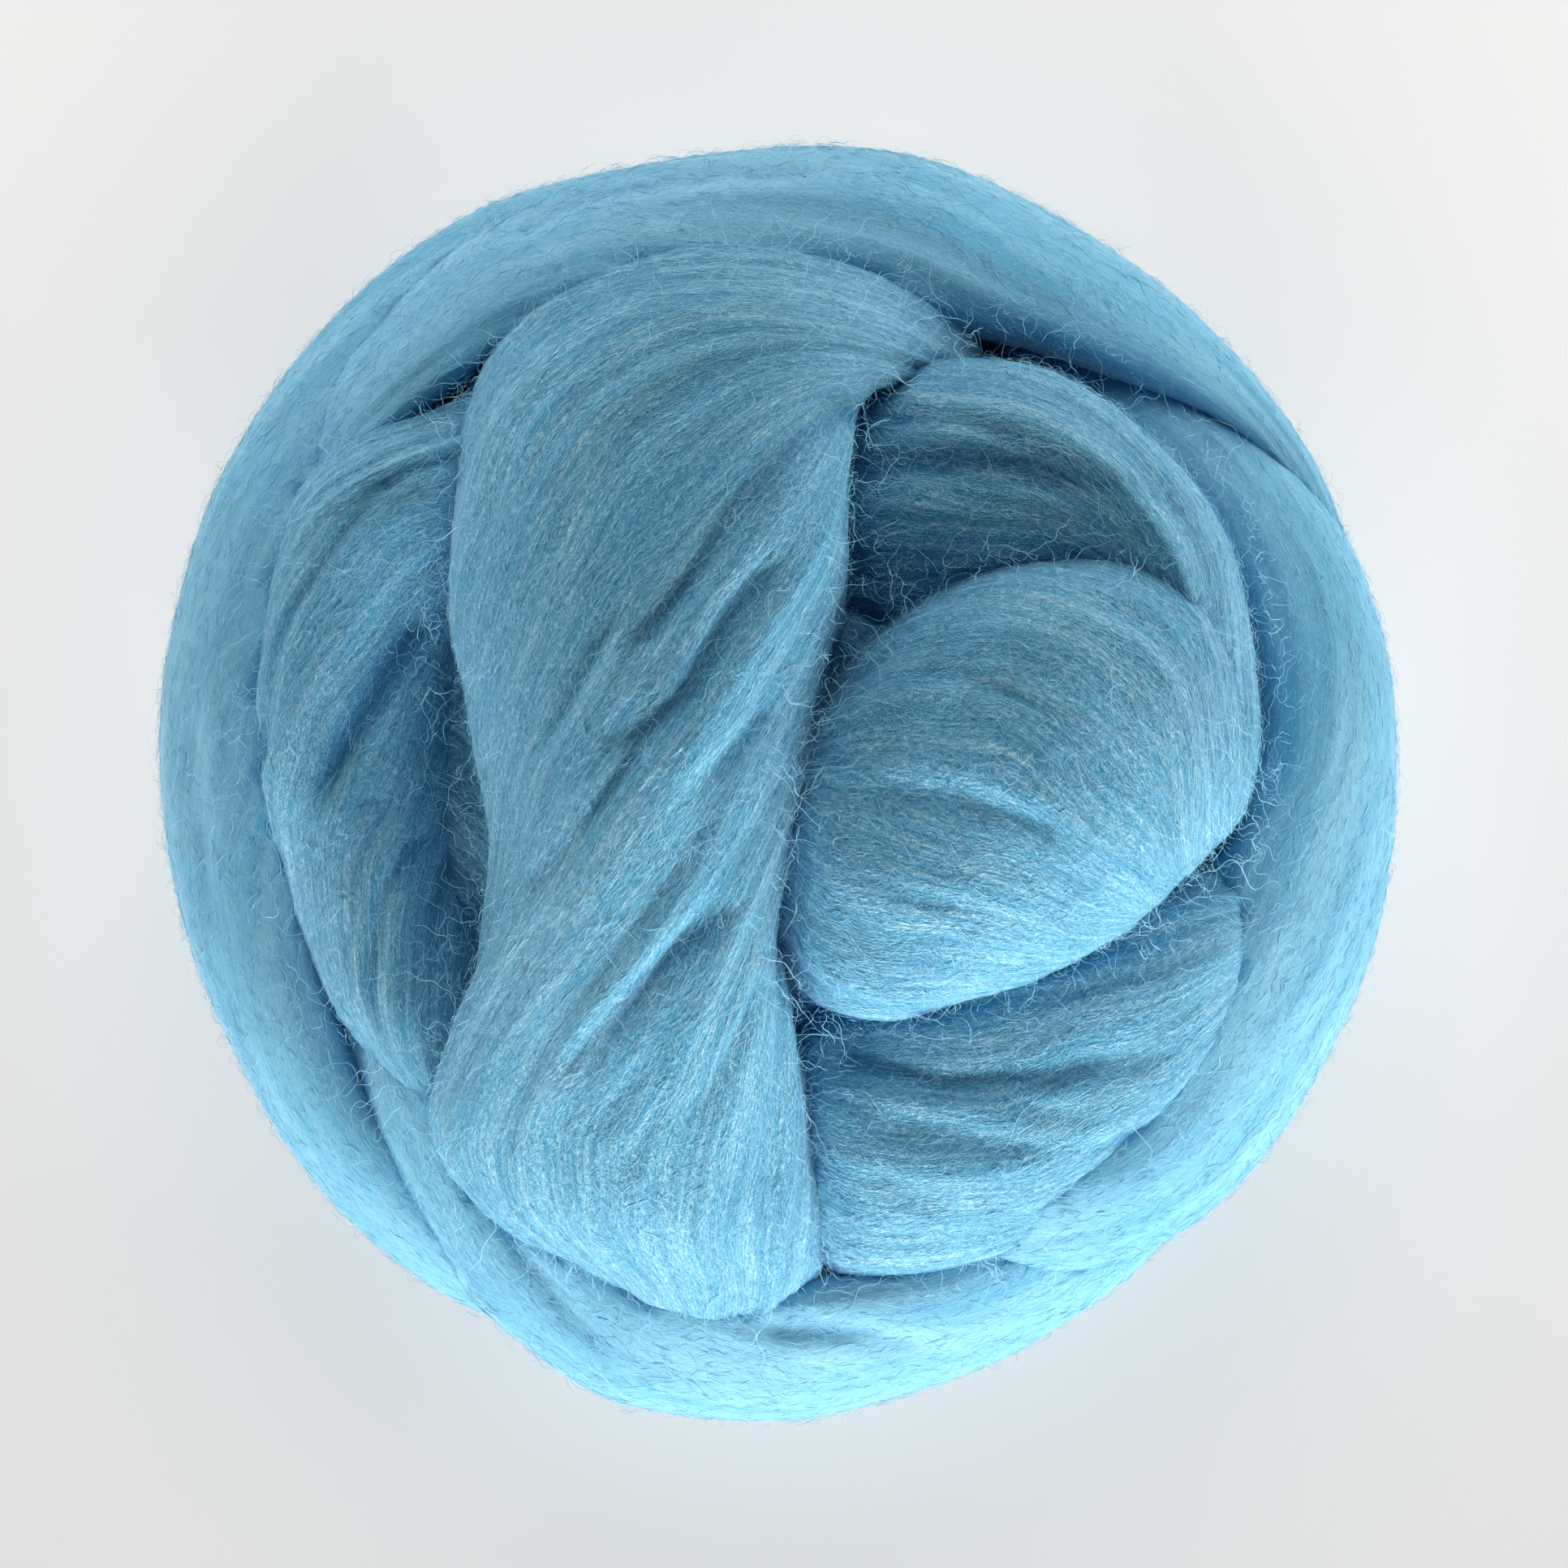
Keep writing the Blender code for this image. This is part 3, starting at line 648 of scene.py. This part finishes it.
# Painted shade: the openness found here makes the wool's colour darker and bluer in the crevices
def look_for_sky(skins):
    """Sets how open each point of the skins is: 0 where the folds all round it hide the sky."""
    points, quads = [], []
    for skin in skins:
        quads.append(skin.quads[skin.shown] + sum(map(len, points)))
        points.append(skin.points)
    nest = BVHTree.FromPolygons(np.concatenate(points).tolist(), np.concatenate(quads).tolist())
    index = np.arange(SKY_RAYS)
    z = 1 - (index + 0.5) / SKY_RAYS * SKY_SPAN
    turn = index * math.pi * (3 - math.sqrt(5))
    flat = np.sqrt(1 - z * z)
    rays = np.stack([flat * np.cos(turn), flat * np.sin(turn), z], axis=1)
    for skin in skins:
        s, theta = np.meshgrid(skin.s, skin.theta[:-1:SKY_COLUMNS], indexing="ij")
        phi = theta + skin.turns[:, None]
        used = np.zeros(skin.rings * skin.columns, bool)
        used[skin.quads[skin.shown]] = True
        used = used.reshape(skin.rings, -1)
        near = used.copy()
        for step in range(-SKY_COLUMNS, SKY_COLUMNS + 1):
            near |= np.roll(used, step, axis=1)
        near = near[:, ::SKY_COLUMNS].ravel()
        here, _, normals = skin.strand.frames(s.ravel(), phi.ravel(), SKY_LIFT)
        facing = normals @ rays.T
        sky = np.ones(len(here))
        for k in np.flatnonzero(near):
            start = Vector(here[k])
            total = seen = 0.0
            for ray in np.flatnonzero(facing[k] > SKY_GRAZING):
                total += facing[k, ray]
                if nest.ray_cast(start, Vector(rays[ray]), SKY_REACH)[0] is None:
                    seen += facing[k, ray]
            sky[k] = seen / max(total, 1e-6)
        sky = sky.reshape(s.shape)
        coarse = np.append(theta[0], TURN)
        for ring in range(skin.rings):
            values = np.append(sky[ring], sky[ring, 0])
            skin.sky[ring] = np.interp(skin.theta[:-1], coarse, values)
        # Painted shade in the creases: their depth takes sky away, so each groove is painted
        # darker
        if skin.strand.creases:
            sunk = skin.strand.sunk(skin.points).reshape(skin.sky.shape)
            skin.sky = np.maximum(skin.sky - CREASE_SHADE * sunk, 0)


# ---------------- fibres
def ribbons(name, paths, normals, widths, tints, skies, material):
    """Thin tapered ribbons in one mesh. paths and normals are (fibre, point, xyz)."""
    count, points, _ = paths.shape
    side = unit(np.cross(unit(np.gradient(paths, axis=1)), normals))
    taper = np.sin(np.linspace(0.15, math.pi - 0.15, points)) ** 0.4
    half = (widths[:, None] / 2 * taper)[..., None]
    edges = np.stack([paths - side * half, paths + side * half], axis=2)
    start = 2 * (np.arange(count)[:, None] * points + np.arange(points - 1))
    quads = np.stack([start, start + 1, start + 3, start + 2], axis=2).reshape(-1, 4)
    cells = math.ceil(math.sqrt(count))
    corner = np.stack(np.divmod(np.arange(count), cells), axis=1)[:, None, None, :]
    along = np.linspace(0.15, 0.85, points)
    low, high = (np.full(points - 1, edge) for edge in (0.2, 0.8))
    near, far = along[:-1], along[1:]
    loops = np.stack([(low, near), (high, near), (high, far), (low, far)]).transpose(2, 0, 1)
    bake = ((corner + loops) / cells).reshape(-1, 2)
    tint, sky = (np.repeat(values, points * 2) for values in (tints, skies))
    mesh_piece(name, edges.reshape(-1, 3), quads, {"OFBake": bake}, material, tint, sky)


def add_ribbons(name, pieces, material, *fibres):
    """The same in several pieces, so that none is too large."""
    for part in range(pieces):
        ribbons(f"{name}_{part + 1}", *(values[part::pieces] for values in fibres), material)


def pick_quads(skins, count, on_sides):
    """Random shown quads of the skins, as (skin, its picks). More of them where the nest is seen
    from above, and on_sides times as many again on the sides of the folds."""
    shown = [skin.shown for skin in skins]
    owner = np.concatenate([np.full(int(own.sum()), k) for k, own in enumerate(shown)])
    quad = np.concatenate([np.flatnonzero(own) for own in shown])
    area, flat = np.concatenate([np.stack(skin.areas())[:, skin.shown] for skin in skins], axis=1)
    height = np.concatenate([skin.centres[skin.shown][:, 2] for skin in skins])
    weight = area * np.interp(height, *zip(*FIBRES_AT_HEIGHT))
    weight *= 1 + on_sides * (1 - flat)
    picks = rng.choice(len(quad), count, p=weight / weight.sum())
    return [(skin, quad[picks[owner[picks] == k]]) for k, skin in enumerate(skins)]


def laid_fibres(skins, material):
    """Short fibres that lie along the strands."""
    share = np.linspace(-0.5, 0.5, LAID_POINTS)
    fibres = []
    for index, (skin, chosen) in enumerate(pick_quads(skins, LAID_COUNT, 0.0)):
        strand = skin.strand
        count = len(chosen)
        middle_s, theta, sky = skin.random_places(chosen)
        length = rng.uniform(*LAID_LENGTH, count)[:, None]
        s = np.clip(middle_s[:, None] + length * share, 0.1, strand.length - 0.1)
        slant = rng.normal(0, LAID_SLANT, (count, 1)) * length * share
        bow = rng.normal(0, LAID_BOW, (count, 1)) * length * np.cos(math.pi * share)
        theta = theta[:, None] + (slant + bow) / strand.radius
        lift = rng.exponential(LAID_LIFT, (count, 1)) * np.cos(math.pi * share) - LAID_DEPTH
        phi = theta + strand.turn(s.ravel()).reshape(s.shape)
        here, _, normal = strand.frames(s.ravel(), phi.ravel(), lift.ravel())
        normal = normal.reshape(count, -1, 3) + rng.normal(0, LAID_TILT, (count, 1, 3))
        place = np.stack([theta[:, 0] * strand.radius, middle_s], axis=1)
        narrow, broad = LAID_STREAKS
        tint = smooth_noise(place / narrow, index) + smooth_noise(place / broad, index + 50)
        tint = LAID_TINT * tint + rng.normal(0, LAID_TINT, count)
        tint = tint * (PRESSED_GRAIN if strand.pressed else 1)
        widths = rng.uniform(*LAID_WIDTH, count)
        fibres.append((here.reshape(count, -1, 3), unit(normal), widths, tint, sky))
    add_ribbons("laid_fibres", LAID_PIECES, material, *map(np.concatenate, zip(*fibres)))


def fuzz(skins, material):
    """Fine fibres that stand off the skins, in the open air."""
    t = np.linspace(0, 1, FUZZ_POINTS)[:, None]
    fibres = []
    for skin, chosen in pick_quads(skins, FUZZ_COUNT, FUZZ_ON_SIDES):
        count = len(chosen)
        s, theta, sky = skin.random_places(chosen)
        here, along, normal = skin.strand.frames(s, theta + skin.strand.turn(s))
        side = np.cross(normal, along)
        length = rng.uniform(*FUZZ_LENGTH, (count, 1))
        sense = rng.choice((-1.0, 1.0), (count, 1))
        way = unit(along * sense + side * rng.normal(0, FUZZ_STRAY, (count, 1)))
        rise = np.interp(np.abs(normal[:, 2:]), (0, 1), FUZZ_RISE[::-1])
        rise = np.minimum(rng.exponential(1, (count, 1)) * rise, FUZZ_HIGHEST)[:, None]
        loop = rng.random((count, 1, 1)) ** 0.5  # 0 for a free end and 1 for a loop
        bow = rng.normal(0, FUZZ_BOW, (count, 1)) * length
        path = (
            here[:, None]
            + normal[:, None] * (rise * t * (1 + loop * (3 - 4 * t)) - FUZZ_DEPTH)
            + (way * length)[:, None] * t
            + (side * bow)[:, None] * t * t
        )
        faces = unit(rng.normal(0, 1, (count, 1, 3))) + path * 0
        widths = rng.uniform(*FUZZ_WIDTH, count)
        fibres.append((path, faces, widths, rng.normal(0.2, 0.4, count), sky))
    add_ribbons("fuzz", FUZZ_PIECES, material, *map(np.concatenate, zip(*fibres)))


def blur(grid, radius):
    """The grid blurred by a Gaussian of this radius in cells."""
    reach = int(3 * radius)
    kernel = np.exp(-0.5 * (np.arange(-reach, reach + 1) / radius) ** 2)
    kernel /= kernel.sum()
    for axis in (0, 1):
        padded = np.pad(grid, [(reach, reach) if a == axis else (0, 0) for a in (0, 1)], "edge")
        grid = np.apply_along_axis(lambda line: np.convolve(line, kernel, "valid"), axis, padded)
    return grid


class TopView:
    """What is met from straight above: the height and the fibres' direction on a 1 mm grid, and
    the height of a soft cover that bridges the crevices."""

    def __init__(self, skins):
        size = 2 * GRID_HALF + 1
        self.heights = np.zeros((size, size))
        self.direction = np.zeros((size, size, 2))
        down = Vector((0, 0, -1))
        for skin in skins:
            s = np.minimum(skin.s[skin.ring] + SKIN_ALONG / 2, skin.strand.length - 1)
            phi = skin.theta[skin.column] + skin.strand.turn(s)
            _, along, _ = skin.strand.frames(s, phi)
            for i, j in np.ndindex(size, size):
                x, y = i - GRID_HALF, j - GRID_HALF
                if x * x + y * y < NEST_REACH * NEST_REACH:
                    hit, _, quad, _ = skin.tree.ray_cast(Vector((x, y, NEST_TOP)), down)
                    if hit is not None and hit.z > self.heights[i, j]:
                        self.heights[i, j] = hit.z
                        self.direction[i, j] = along[quad][:2]
        cover = self.heights
        for axis, step in itertools.product((0, 1), COVER_STEPS):
            cover = np.maximum(cover, np.roll(cover, step, axis))
        self.cover = blur(cover, COVER_BLUR)

    def sample(self, grid, x, y):
        x, y = (np.clip(k + GRID_HALF, 0, 2 * GRID_HALF - 1.001) for k in (x, y))
        i, j = x.astype(int), y.astype(int)
        a, b = x - i, y - j
        return (
            grid[i, j] * (1 - a) * (1 - b) + grid[i + 1, j] * a * (1 - b)
            + grid[i, j + 1] * (1 - a) * b + grid[i + 1, j + 1] * a * b
        )


def loose_fibres(view, material):
    """Curly fibres that lie loose over the top, thickest where they bridge a crevice."""
    shallow, span = CREVICE
    crevice = np.clip(view.cover - view.heights - shallow, 0, span) / span
    low, span, least = LOOSE_FEWER
    often = LOOSE_ON_TOP * np.clip((view.heights - low) / span, least, 1)
    weight = np.where(view.heights > LOOSE_LOWEST[0], often + crevice, 0).ravel()
    start = rng.choice(weight.size, LOOSE_COUNT, p=weight / weight.sum())
    i, j = np.unravel_index(start, view.heights.shape)
    x, y = (k - GRID_HALF + rng.uniform(-0.5, 0.5, LOOSE_COUNT) for k in (i, j))
    lie = view.direction[i, j]
    stray = np.where(crevice[i, j] > 0.3, *LOOSE_STRAY)
    heading = np.arctan2(lie[:, 1], lie[:, 0]) + rng.normal(0, 1, LOOSE_COUNT) * stray
    long = rng.random(LOOSE_COUNT) ** LOOSE_SHORTNESS
    length = LOOSE_LENGTH[0] + np.diff(LOOSE_LENGTH) * long
    t = np.linspace(-0.5, 0.5, LOOSE_POINTS)
    each = (LOOSE_COUNT, 1)
    course = np.repeat(heading[:, None], LOOSE_POINTS, axis=1)
    for waves, amount in LOOSE_WAVES:
        phase = rng.uniform(0, TURN, each)
        swing = rng.normal(0, amount, each)
        course += swing * np.sin(TURN * waves * t + phase)
    crimp_waves = length[:, None] / rng.uniform(*CRIMP_LENGTH, each)
    swing = rng.uniform(*CRIMP_SWING, each)
    course += swing * np.sin(TURN * crimp_waves * t)
    step = (length / (LOOSE_POINTS - 1))[:, None]
    px, py = np.cumsum(np.cos(course) * step, axis=1), np.cumsum(np.sin(course) * step, axis=1)
    middle = LOOSE_POINTS // 2
    px += (x - px[:, middle])[:, None]
    py += (y - py[:, middle])[:, None]
    low = view.sample(view.heights, px, py)
    cover = view.sample(view.cover, px, py)
    hang = rng.uniform(*LOOSE_HANG, each)
    least, arch = LOOSE_LIFT
    pz = low + least + np.clip(cover - COVER_GAP - low, 0, 12) * hang
    pz += rng.exponential(arch, each) * np.cos(math.pi * t)
    # Painted shade: a loose fibre sees less sky, and is painted darker, the deeper it hangs under
    # the cover
    sky = np.clip(1 - np.mean(cover - pz - COVER_GAP, axis=1) / 10, 0.1, 1)
    on_top = low.min(axis=1) > LOOSE_LOWEST[1]
    paths = np.stack([px, py, pz], axis=2)[on_top]
    normals = unit(rng.normal(0, 0.5, (len(paths), 1, 3)) + (0, 0, 1)) + paths * 0
    widths = rng.uniform(*LOOSE_WIDTH, len(paths))
    tints = rng.normal(0.1, 0.45, len(paths))
    fibres = (paths, normals, widths, tints, sky[on_top])
    add_ribbons("loose_fibres", LOOSE_PIECES, material, *fibres)


# ---------------- materials
def put(node, values):
    """Sets a node's own values, by the names of their sockets."""
    for name, value in values.items():
        node.inputs[name].default_value = value


class Nodes:
    """Short calls for the nodes of one material."""

    def __init__(self, name):
        self.material = bpy.data.materials.new(name)
        self.material.use_nodes = True
        self.tree = self.material.node_tree
        self.shader = self.tree.nodes["Principled BSDF"]

    def new(self, kind):
        return self.tree.nodes.new(kind)

    def link(self, value, socket):
        if isinstance(value, bpy.types.NodeSocket):
            self.tree.links.new(value, socket)
        else:
            socket.default_value = value

    def maths(self, operation, *values):
        node = self.new("ShaderNodeMath")
        node.operation = operation
        for value, socket in zip(values, node.inputs):
            self.link(value, socket)
        return node.outputs[0]

    def noise(self, x, y, z=0.0, detail=1.0):
        place = self.new("ShaderNodeCombineXYZ")
        for value, socket in zip((x, y, z), place.inputs):
            self.link(value, socket)
        node = self.new("ShaderNodeTexNoise")
        put(node, {"Scale": 1.0, "Detail": detail})
        self.link(place.outputs[0], node.inputs["Vector"])
        return node.outputs["Fac"]

    def streaks(self, u, v, width, length, detail=1.0):
        """Noise drawn out along the fibres: its width across and length along, in millimetres."""
        return self.noise(
            self.maths("DIVIDE", u, width), self.maths("DIVIDE", v, length), width, detail
        )

    def ramp(self, value, *stops):
        node = self.new("ShaderNodeValToRGB")
        elements = node.color_ramp.elements
        while len(elements) < len(stops):
            elements.new(0.5)
        for element, (place, colour) in zip(elements, stops):
            element.position = place
            element.color = (*colour, 1)
        self.link(value, node.inputs[0])
        return node.outputs[0]


DEEP_BLUE = (0.06, 0.32, 0.52)
MID_BLUE = (0.14, 0.46, 0.67)
PALE_BLUE = (0.29, 0.63, 0.80)
STRAY_BLUE = (0.42, 0.73, 0.87)
# The palest shade is a painted highlight that stands for the glints of light on the fibres
PAINTED_GLINT_BLUE = (0.58, 0.83, 0.93)

# Painted shade: how much of its colour the wool keeps in a crevice and, further on, in the open,
# so that it is darker and bluer where the folds hide the sky
PAINTED_SKY_SHADE = ((0.0, (0.20, 0.36, 0.50)), (0.3, (0.40, 0.58, 0.72)), (0.75, (1, 1, 1)))

# Layers of fine hairs: width and length of a streak in millimetres, and its slant
HAIR_LAYERS = ((0.13, 0.5, 0.5), (0.14, 0.5, -0.45), (0.14, 0.9, 0.05))

# Other streaks: width, length and detail. The lock's width is the material's own.
GRAIN_STREAKS = (0.15, 0.2)
THIN_STREAKS = (0.35, 12.0, 2.0)
LOCK_STREAKS = (30.0, 2.0)
SWAY_STREAKS = (14.0, 16.0)
SWAY = 3.0  # how far the fibres waver in all, in millimetres

# How much each layer counts, and the shades on either side of the middle. The palest is a painted
# highlight, for glints
FINE_SHARE, GRAIN_SHARE, THIN_SHARE, LOCK_SHARE = 0.75, 0.22, 0.34, 0.17
WOOL_SHADES = ((-0.10, DEEP_BLUE), (0.01, MID_BLUE), (0.10, PALE_BLUE), (0.18, PAINTED_GLINT_BLUE))
BUMP_HEIGHT = 0.4  # millimetres

# Contrast of the fine layers, the lock's width, and how much lighter the wool is. The pressed
# coils round the sides are painted lighter than the folds on top, as painted light
COMBED_LOOK = (1.0, 1.6, -0.01)
PRESSED_PAINTED_LIGHT_LOOK = (PRESSED_GRAIN, 3.2, 0.035)

SKIN_FINISH = (0.55, 0.25)  # roughness and shine
FIBRE_FINISH = (0.5, 0.12)
SHEEN_ROUGHNESS = 0.4
SHEEN_TINT = (0.72, 0.90, 1.0)


def finish_wool(nodes, colour, roughness, shine):
    """What the skin and the fibres share: a soft surface with a pale sheen at a low angle, and
    painted shade that makes its colour darker and bluer where little sky is seen."""
    shader = nodes.shader
    # Painted shade: the colour is multiplied by a ramp of the sky that each point sees
    sky = nodes.new("ShaderNodeAttribute")
    sky.attribute_name = "sky"
    painted_shade = nodes.new("ShaderNodeMix")
    painted_shade.data_type = "RGBA"
    painted_shade.blend_type = "MULTIPLY"
    painted_shade.inputs["Factor"].default_value = 1.0
    nodes.link(colour, painted_shade.inputs[6])
    nodes.link(nodes.ramp(sky.outputs["Fac"], *PAINTED_SKY_SHADE), painted_shade.inputs[7])
    nodes.link(painted_shade.outputs[2], shader.inputs["Base Color"])
    put(shader, {"Roughness": roughness, "Specular IOR Level": shine, "Sheen Weight": shine})
    put(shader, {"Sheen Roughness": SHEEN_ROUGHNESS, "Sheen Tint": (*SHEEN_TINT, 1)})


def skin_material(name, contrast, lock_width, lighter):
    """Combed fibre seen close together: short crossing streaks along it, in locks of their own
    shade, with a painted highlight, a glint, here and there."""
    nodes = Nodes(name)
    uv = nodes.new("ShaderNodeUVMap")
    uv.uv_map = "fibre"
    split = nodes.new("ShaderNodeSeparateXYZ")
    nodes.link(uv.outputs[0], split.inputs[0])
    u, v = split.outputs[0], split.outputs[1]
    u = nodes.maths("MULTIPLY_ADD", nodes.streaks(u, v, *SWAY_STREAKS), SWAY, u)
    hairs = []
    for width, length, slant in HAIR_LAYERS:
        across = nodes.maths("MULTIPLY_ADD", v, slant, u)
        hairs.append(nodes.streaks(across, v, width, length))
    crossing = nodes.maths("MAXIMUM", hairs[0], hairs[1])
    fine = nodes.maths("MULTIPLY_ADD", hairs[2], 0.5, nodes.maths("MULTIPLY", crossing, 0.5))
    grain = nodes.streaks(u, v, *GRAIN_STREAKS)
    thin = nodes.streaks(u, v, *THIN_STREAKS)
    lock = nodes.streaks(u, v, lock_width, *LOCK_STREAKS)
    layers = (
        (fine, FINE_SHARE * contrast),
        (grain, GRAIN_SHARE * contrast),
        (thin, THIN_SHARE * contrast),
        (lock, LOCK_SHARE),
    )
    mixed = 0.5 + lighter - 0.5 * sum(share for _, share in layers)
    for layer, share in layers:
        mixed = nodes.maths("MULTIPLY_ADD", layer, share, mixed)
    colour = nodes.ramp(mixed, *((0.5 + place, shade) for place, shade in WOOL_SHADES))
    finish_wool(nodes, colour, *SKIN_FINISH)
    bump = nodes.new("ShaderNodeBump")
    put(bump, {"Strength": 1.0, "Distance": BUMP_HEIGHT * MM})
    nodes.link(mixed, bump.inputs["Height"])
    nodes.link(bump.outputs[0], nodes.shader.inputs["Normal"])
    return nodes.material


def fibre_material(name, *colours):
    """Single fibres, each lighter or darker by its own tint."""
    nodes = Nodes(name)
    tint = nodes.new("ShaderNodeAttribute")
    tint.attribute_name = "tint"
    value = nodes.maths("MULTIPLY_ADD", tint.outputs["Fac"], 0.5, 0.5)
    finish_wool(nodes, nodes.ramp(value, *zip((0.1, 0.5, 0.9), colours)), *FIBRE_FINISH)
    return nodes.material


def floor_material():
    """A plain pale sheet, lit a little from beneath and more so on its far side."""
    nodes = Nodes("pale_floor")
    put(nodes.shader, {"Base Color": (*FLOOR_COLOUR, 1), "Roughness": 1.0})
    put(nodes.shader, {"Specular IOR Level": 0.0, "Emission Color": (*FLOOR_GLOW_COLOUR, 1)})
    place = nodes.new("ShaderNodeTexCoord")
    split = nodes.new("ShaderNodeSeparateXYZ")
    nodes.link(place.outputs["Object"], split.inputs[0])
    far = nodes.maths("MAXIMUM", split.outputs[1], -FLOOR_GLOW_REACH)
    far = nodes.maths("MINIMUM", far, FLOOR_GLOW_REACH)
    glow = nodes.maths("MULTIPLY_ADD", far, FLOOR_GLOW_SLOPE, FLOOR_GLOW)
    nodes.link(glow, nodes.shader.inputs["Emission Strength"])
    return nodes.material


# ---------------- stage
EQUATOR = 36.0  # height of the nest's widest part, in millimetres
CAMERA_RISE = 520.0  # camera's height over it
PHOTO_SIDE = 1932
PIXELS_PER_MM = 10.29  # at the equator
NEST_PIXEL = (957.0, 966.0)  # where the tables' origin is in the photograph
FLOOR_COLOUR = (0.512, 0.500, 0.486)
FLOOR_GLOW_COLOUR = (1.0, 0.992, 0.980)
FLOOR_GLOW = 0.447
FLOOR_GLOW_SLOPE = 0.82  # for each metre towards the far side
FLOOR_GLOW_REACH = 0.2  # metres from the middle, beyond which it is even
FLOOR_SIDE = 4.0  # metres
WORLD_COLOUR = (0.96, 0.98, 1.0)
WORLD_STRENGTH = 0.0  # all the light is from the lamps and the floor
LIGHT_SIZE = 0.7  # metres
LIGHT_DISTANCE = 1.2

# name, azimuth from the near side towards the right, elevation, and power in watts
LIGHTS = (
    ("near", 0, 4, 36.0),
    ("near_right", 45, 4, 8.0),
    ("right", 90, 4, 15.5),
    ("far", 180, 4, 8.5),
    ("left", 270, 4, 10.5),
    ("high_far", 180, 45, 4.6),
)


def add_floor():
    bpy.ops.mesh.primitive_plane_add(size=FLOOR_SIDE)
    floor = bpy.context.object
    floor.name = "floor"
    floor.data.materials.append(floor_material())


def add_light(name, azimuth, elevation, power):
    """A square area light that faces the nest."""
    light = bpy.data.lights.new(name, "AREA")
    light.size = LIGHT_SIZE
    light.energy = power
    lamp = add_object(name, light)
    a, e = math.radians(azimuth), math.radians(elevation)
    away = Vector((math.sin(a) * math.cos(e), -math.cos(a) * math.cos(e), math.sin(e)))
    lamp.location = away * LIGHT_DISTANCE
    lamp.rotation_mode = "QUATERNION"
    lamp.rotation_quaternion = away.to_track_quat("Z", "Y")


def add_world():
    world = bpy.data.worlds.new("studio")
    bpy.context.scene.world = world
    world.use_nodes = True
    background = world.node_tree.nodes["Background"]
    put(background, {"Color": (*WORLD_COLOUR, 1), "Strength": WORLD_STRENGTH})


def add_camera():
    """Straight above, with the nest where the photograph has it."""
    camera = bpy.data.cameras.new("camera")
    lens = add_object("camera", camera)
    bpy.context.scene.camera = lens
    camera.lens = camera.sensor_width * CAMERA_RISE * PIXELS_PER_MM / PHOTO_SIDE
    camera.shift_x = (PHOTO_SIDE / 2 - NEST_PIXEL[0]) / PHOTO_SIDE
    camera.shift_y = (NEST_PIXEL[1] - PHOTO_SIDE / 2) / PHOTO_SIDE
    lens.location = [-DRAWN_MIDDLE[0] * MM, -DRAWN_MIDDLE[1] * MM, (EQUATOR + CAMERA_RISE) * MM]


# ---------------- the scene
bpy.context.scene.view_settings.view_transform = "Standard"
skins = [Skin(Strand(name, rows, k)) for k, (name, rows) in enumerate(STRANDS.items())]
hide_buried(skins)
look_for_sky(skins)
wool = skin_material("combed_wool", *COMBED_LOOK)
# The coils' wool is pressed, with less contrast, and painted lighter as painted light
pressed_painted_light_wool = skin_material("pressed_painted_light_wool", *PRESSED_PAINTED_LIGHT_LOOK)
for skin in skins:
    skin.add(pressed_painted_light_wool if skin.strand.pressed else wool)
laid_fibres(skins, fibre_material("laid_fibre", DEEP_BLUE, PALE_BLUE, STRAY_BLUE))
loose_fibre = fibre_material("loose_fibre", MID_BLUE, PALE_BLUE, STRAY_BLUE)
fuzz(skins, loose_fibre)
loose_fibres(TopView(skins), loose_fibre)

add_floor()
add_world()
for light in LIGHTS:
    add_light(*light)
add_camera()
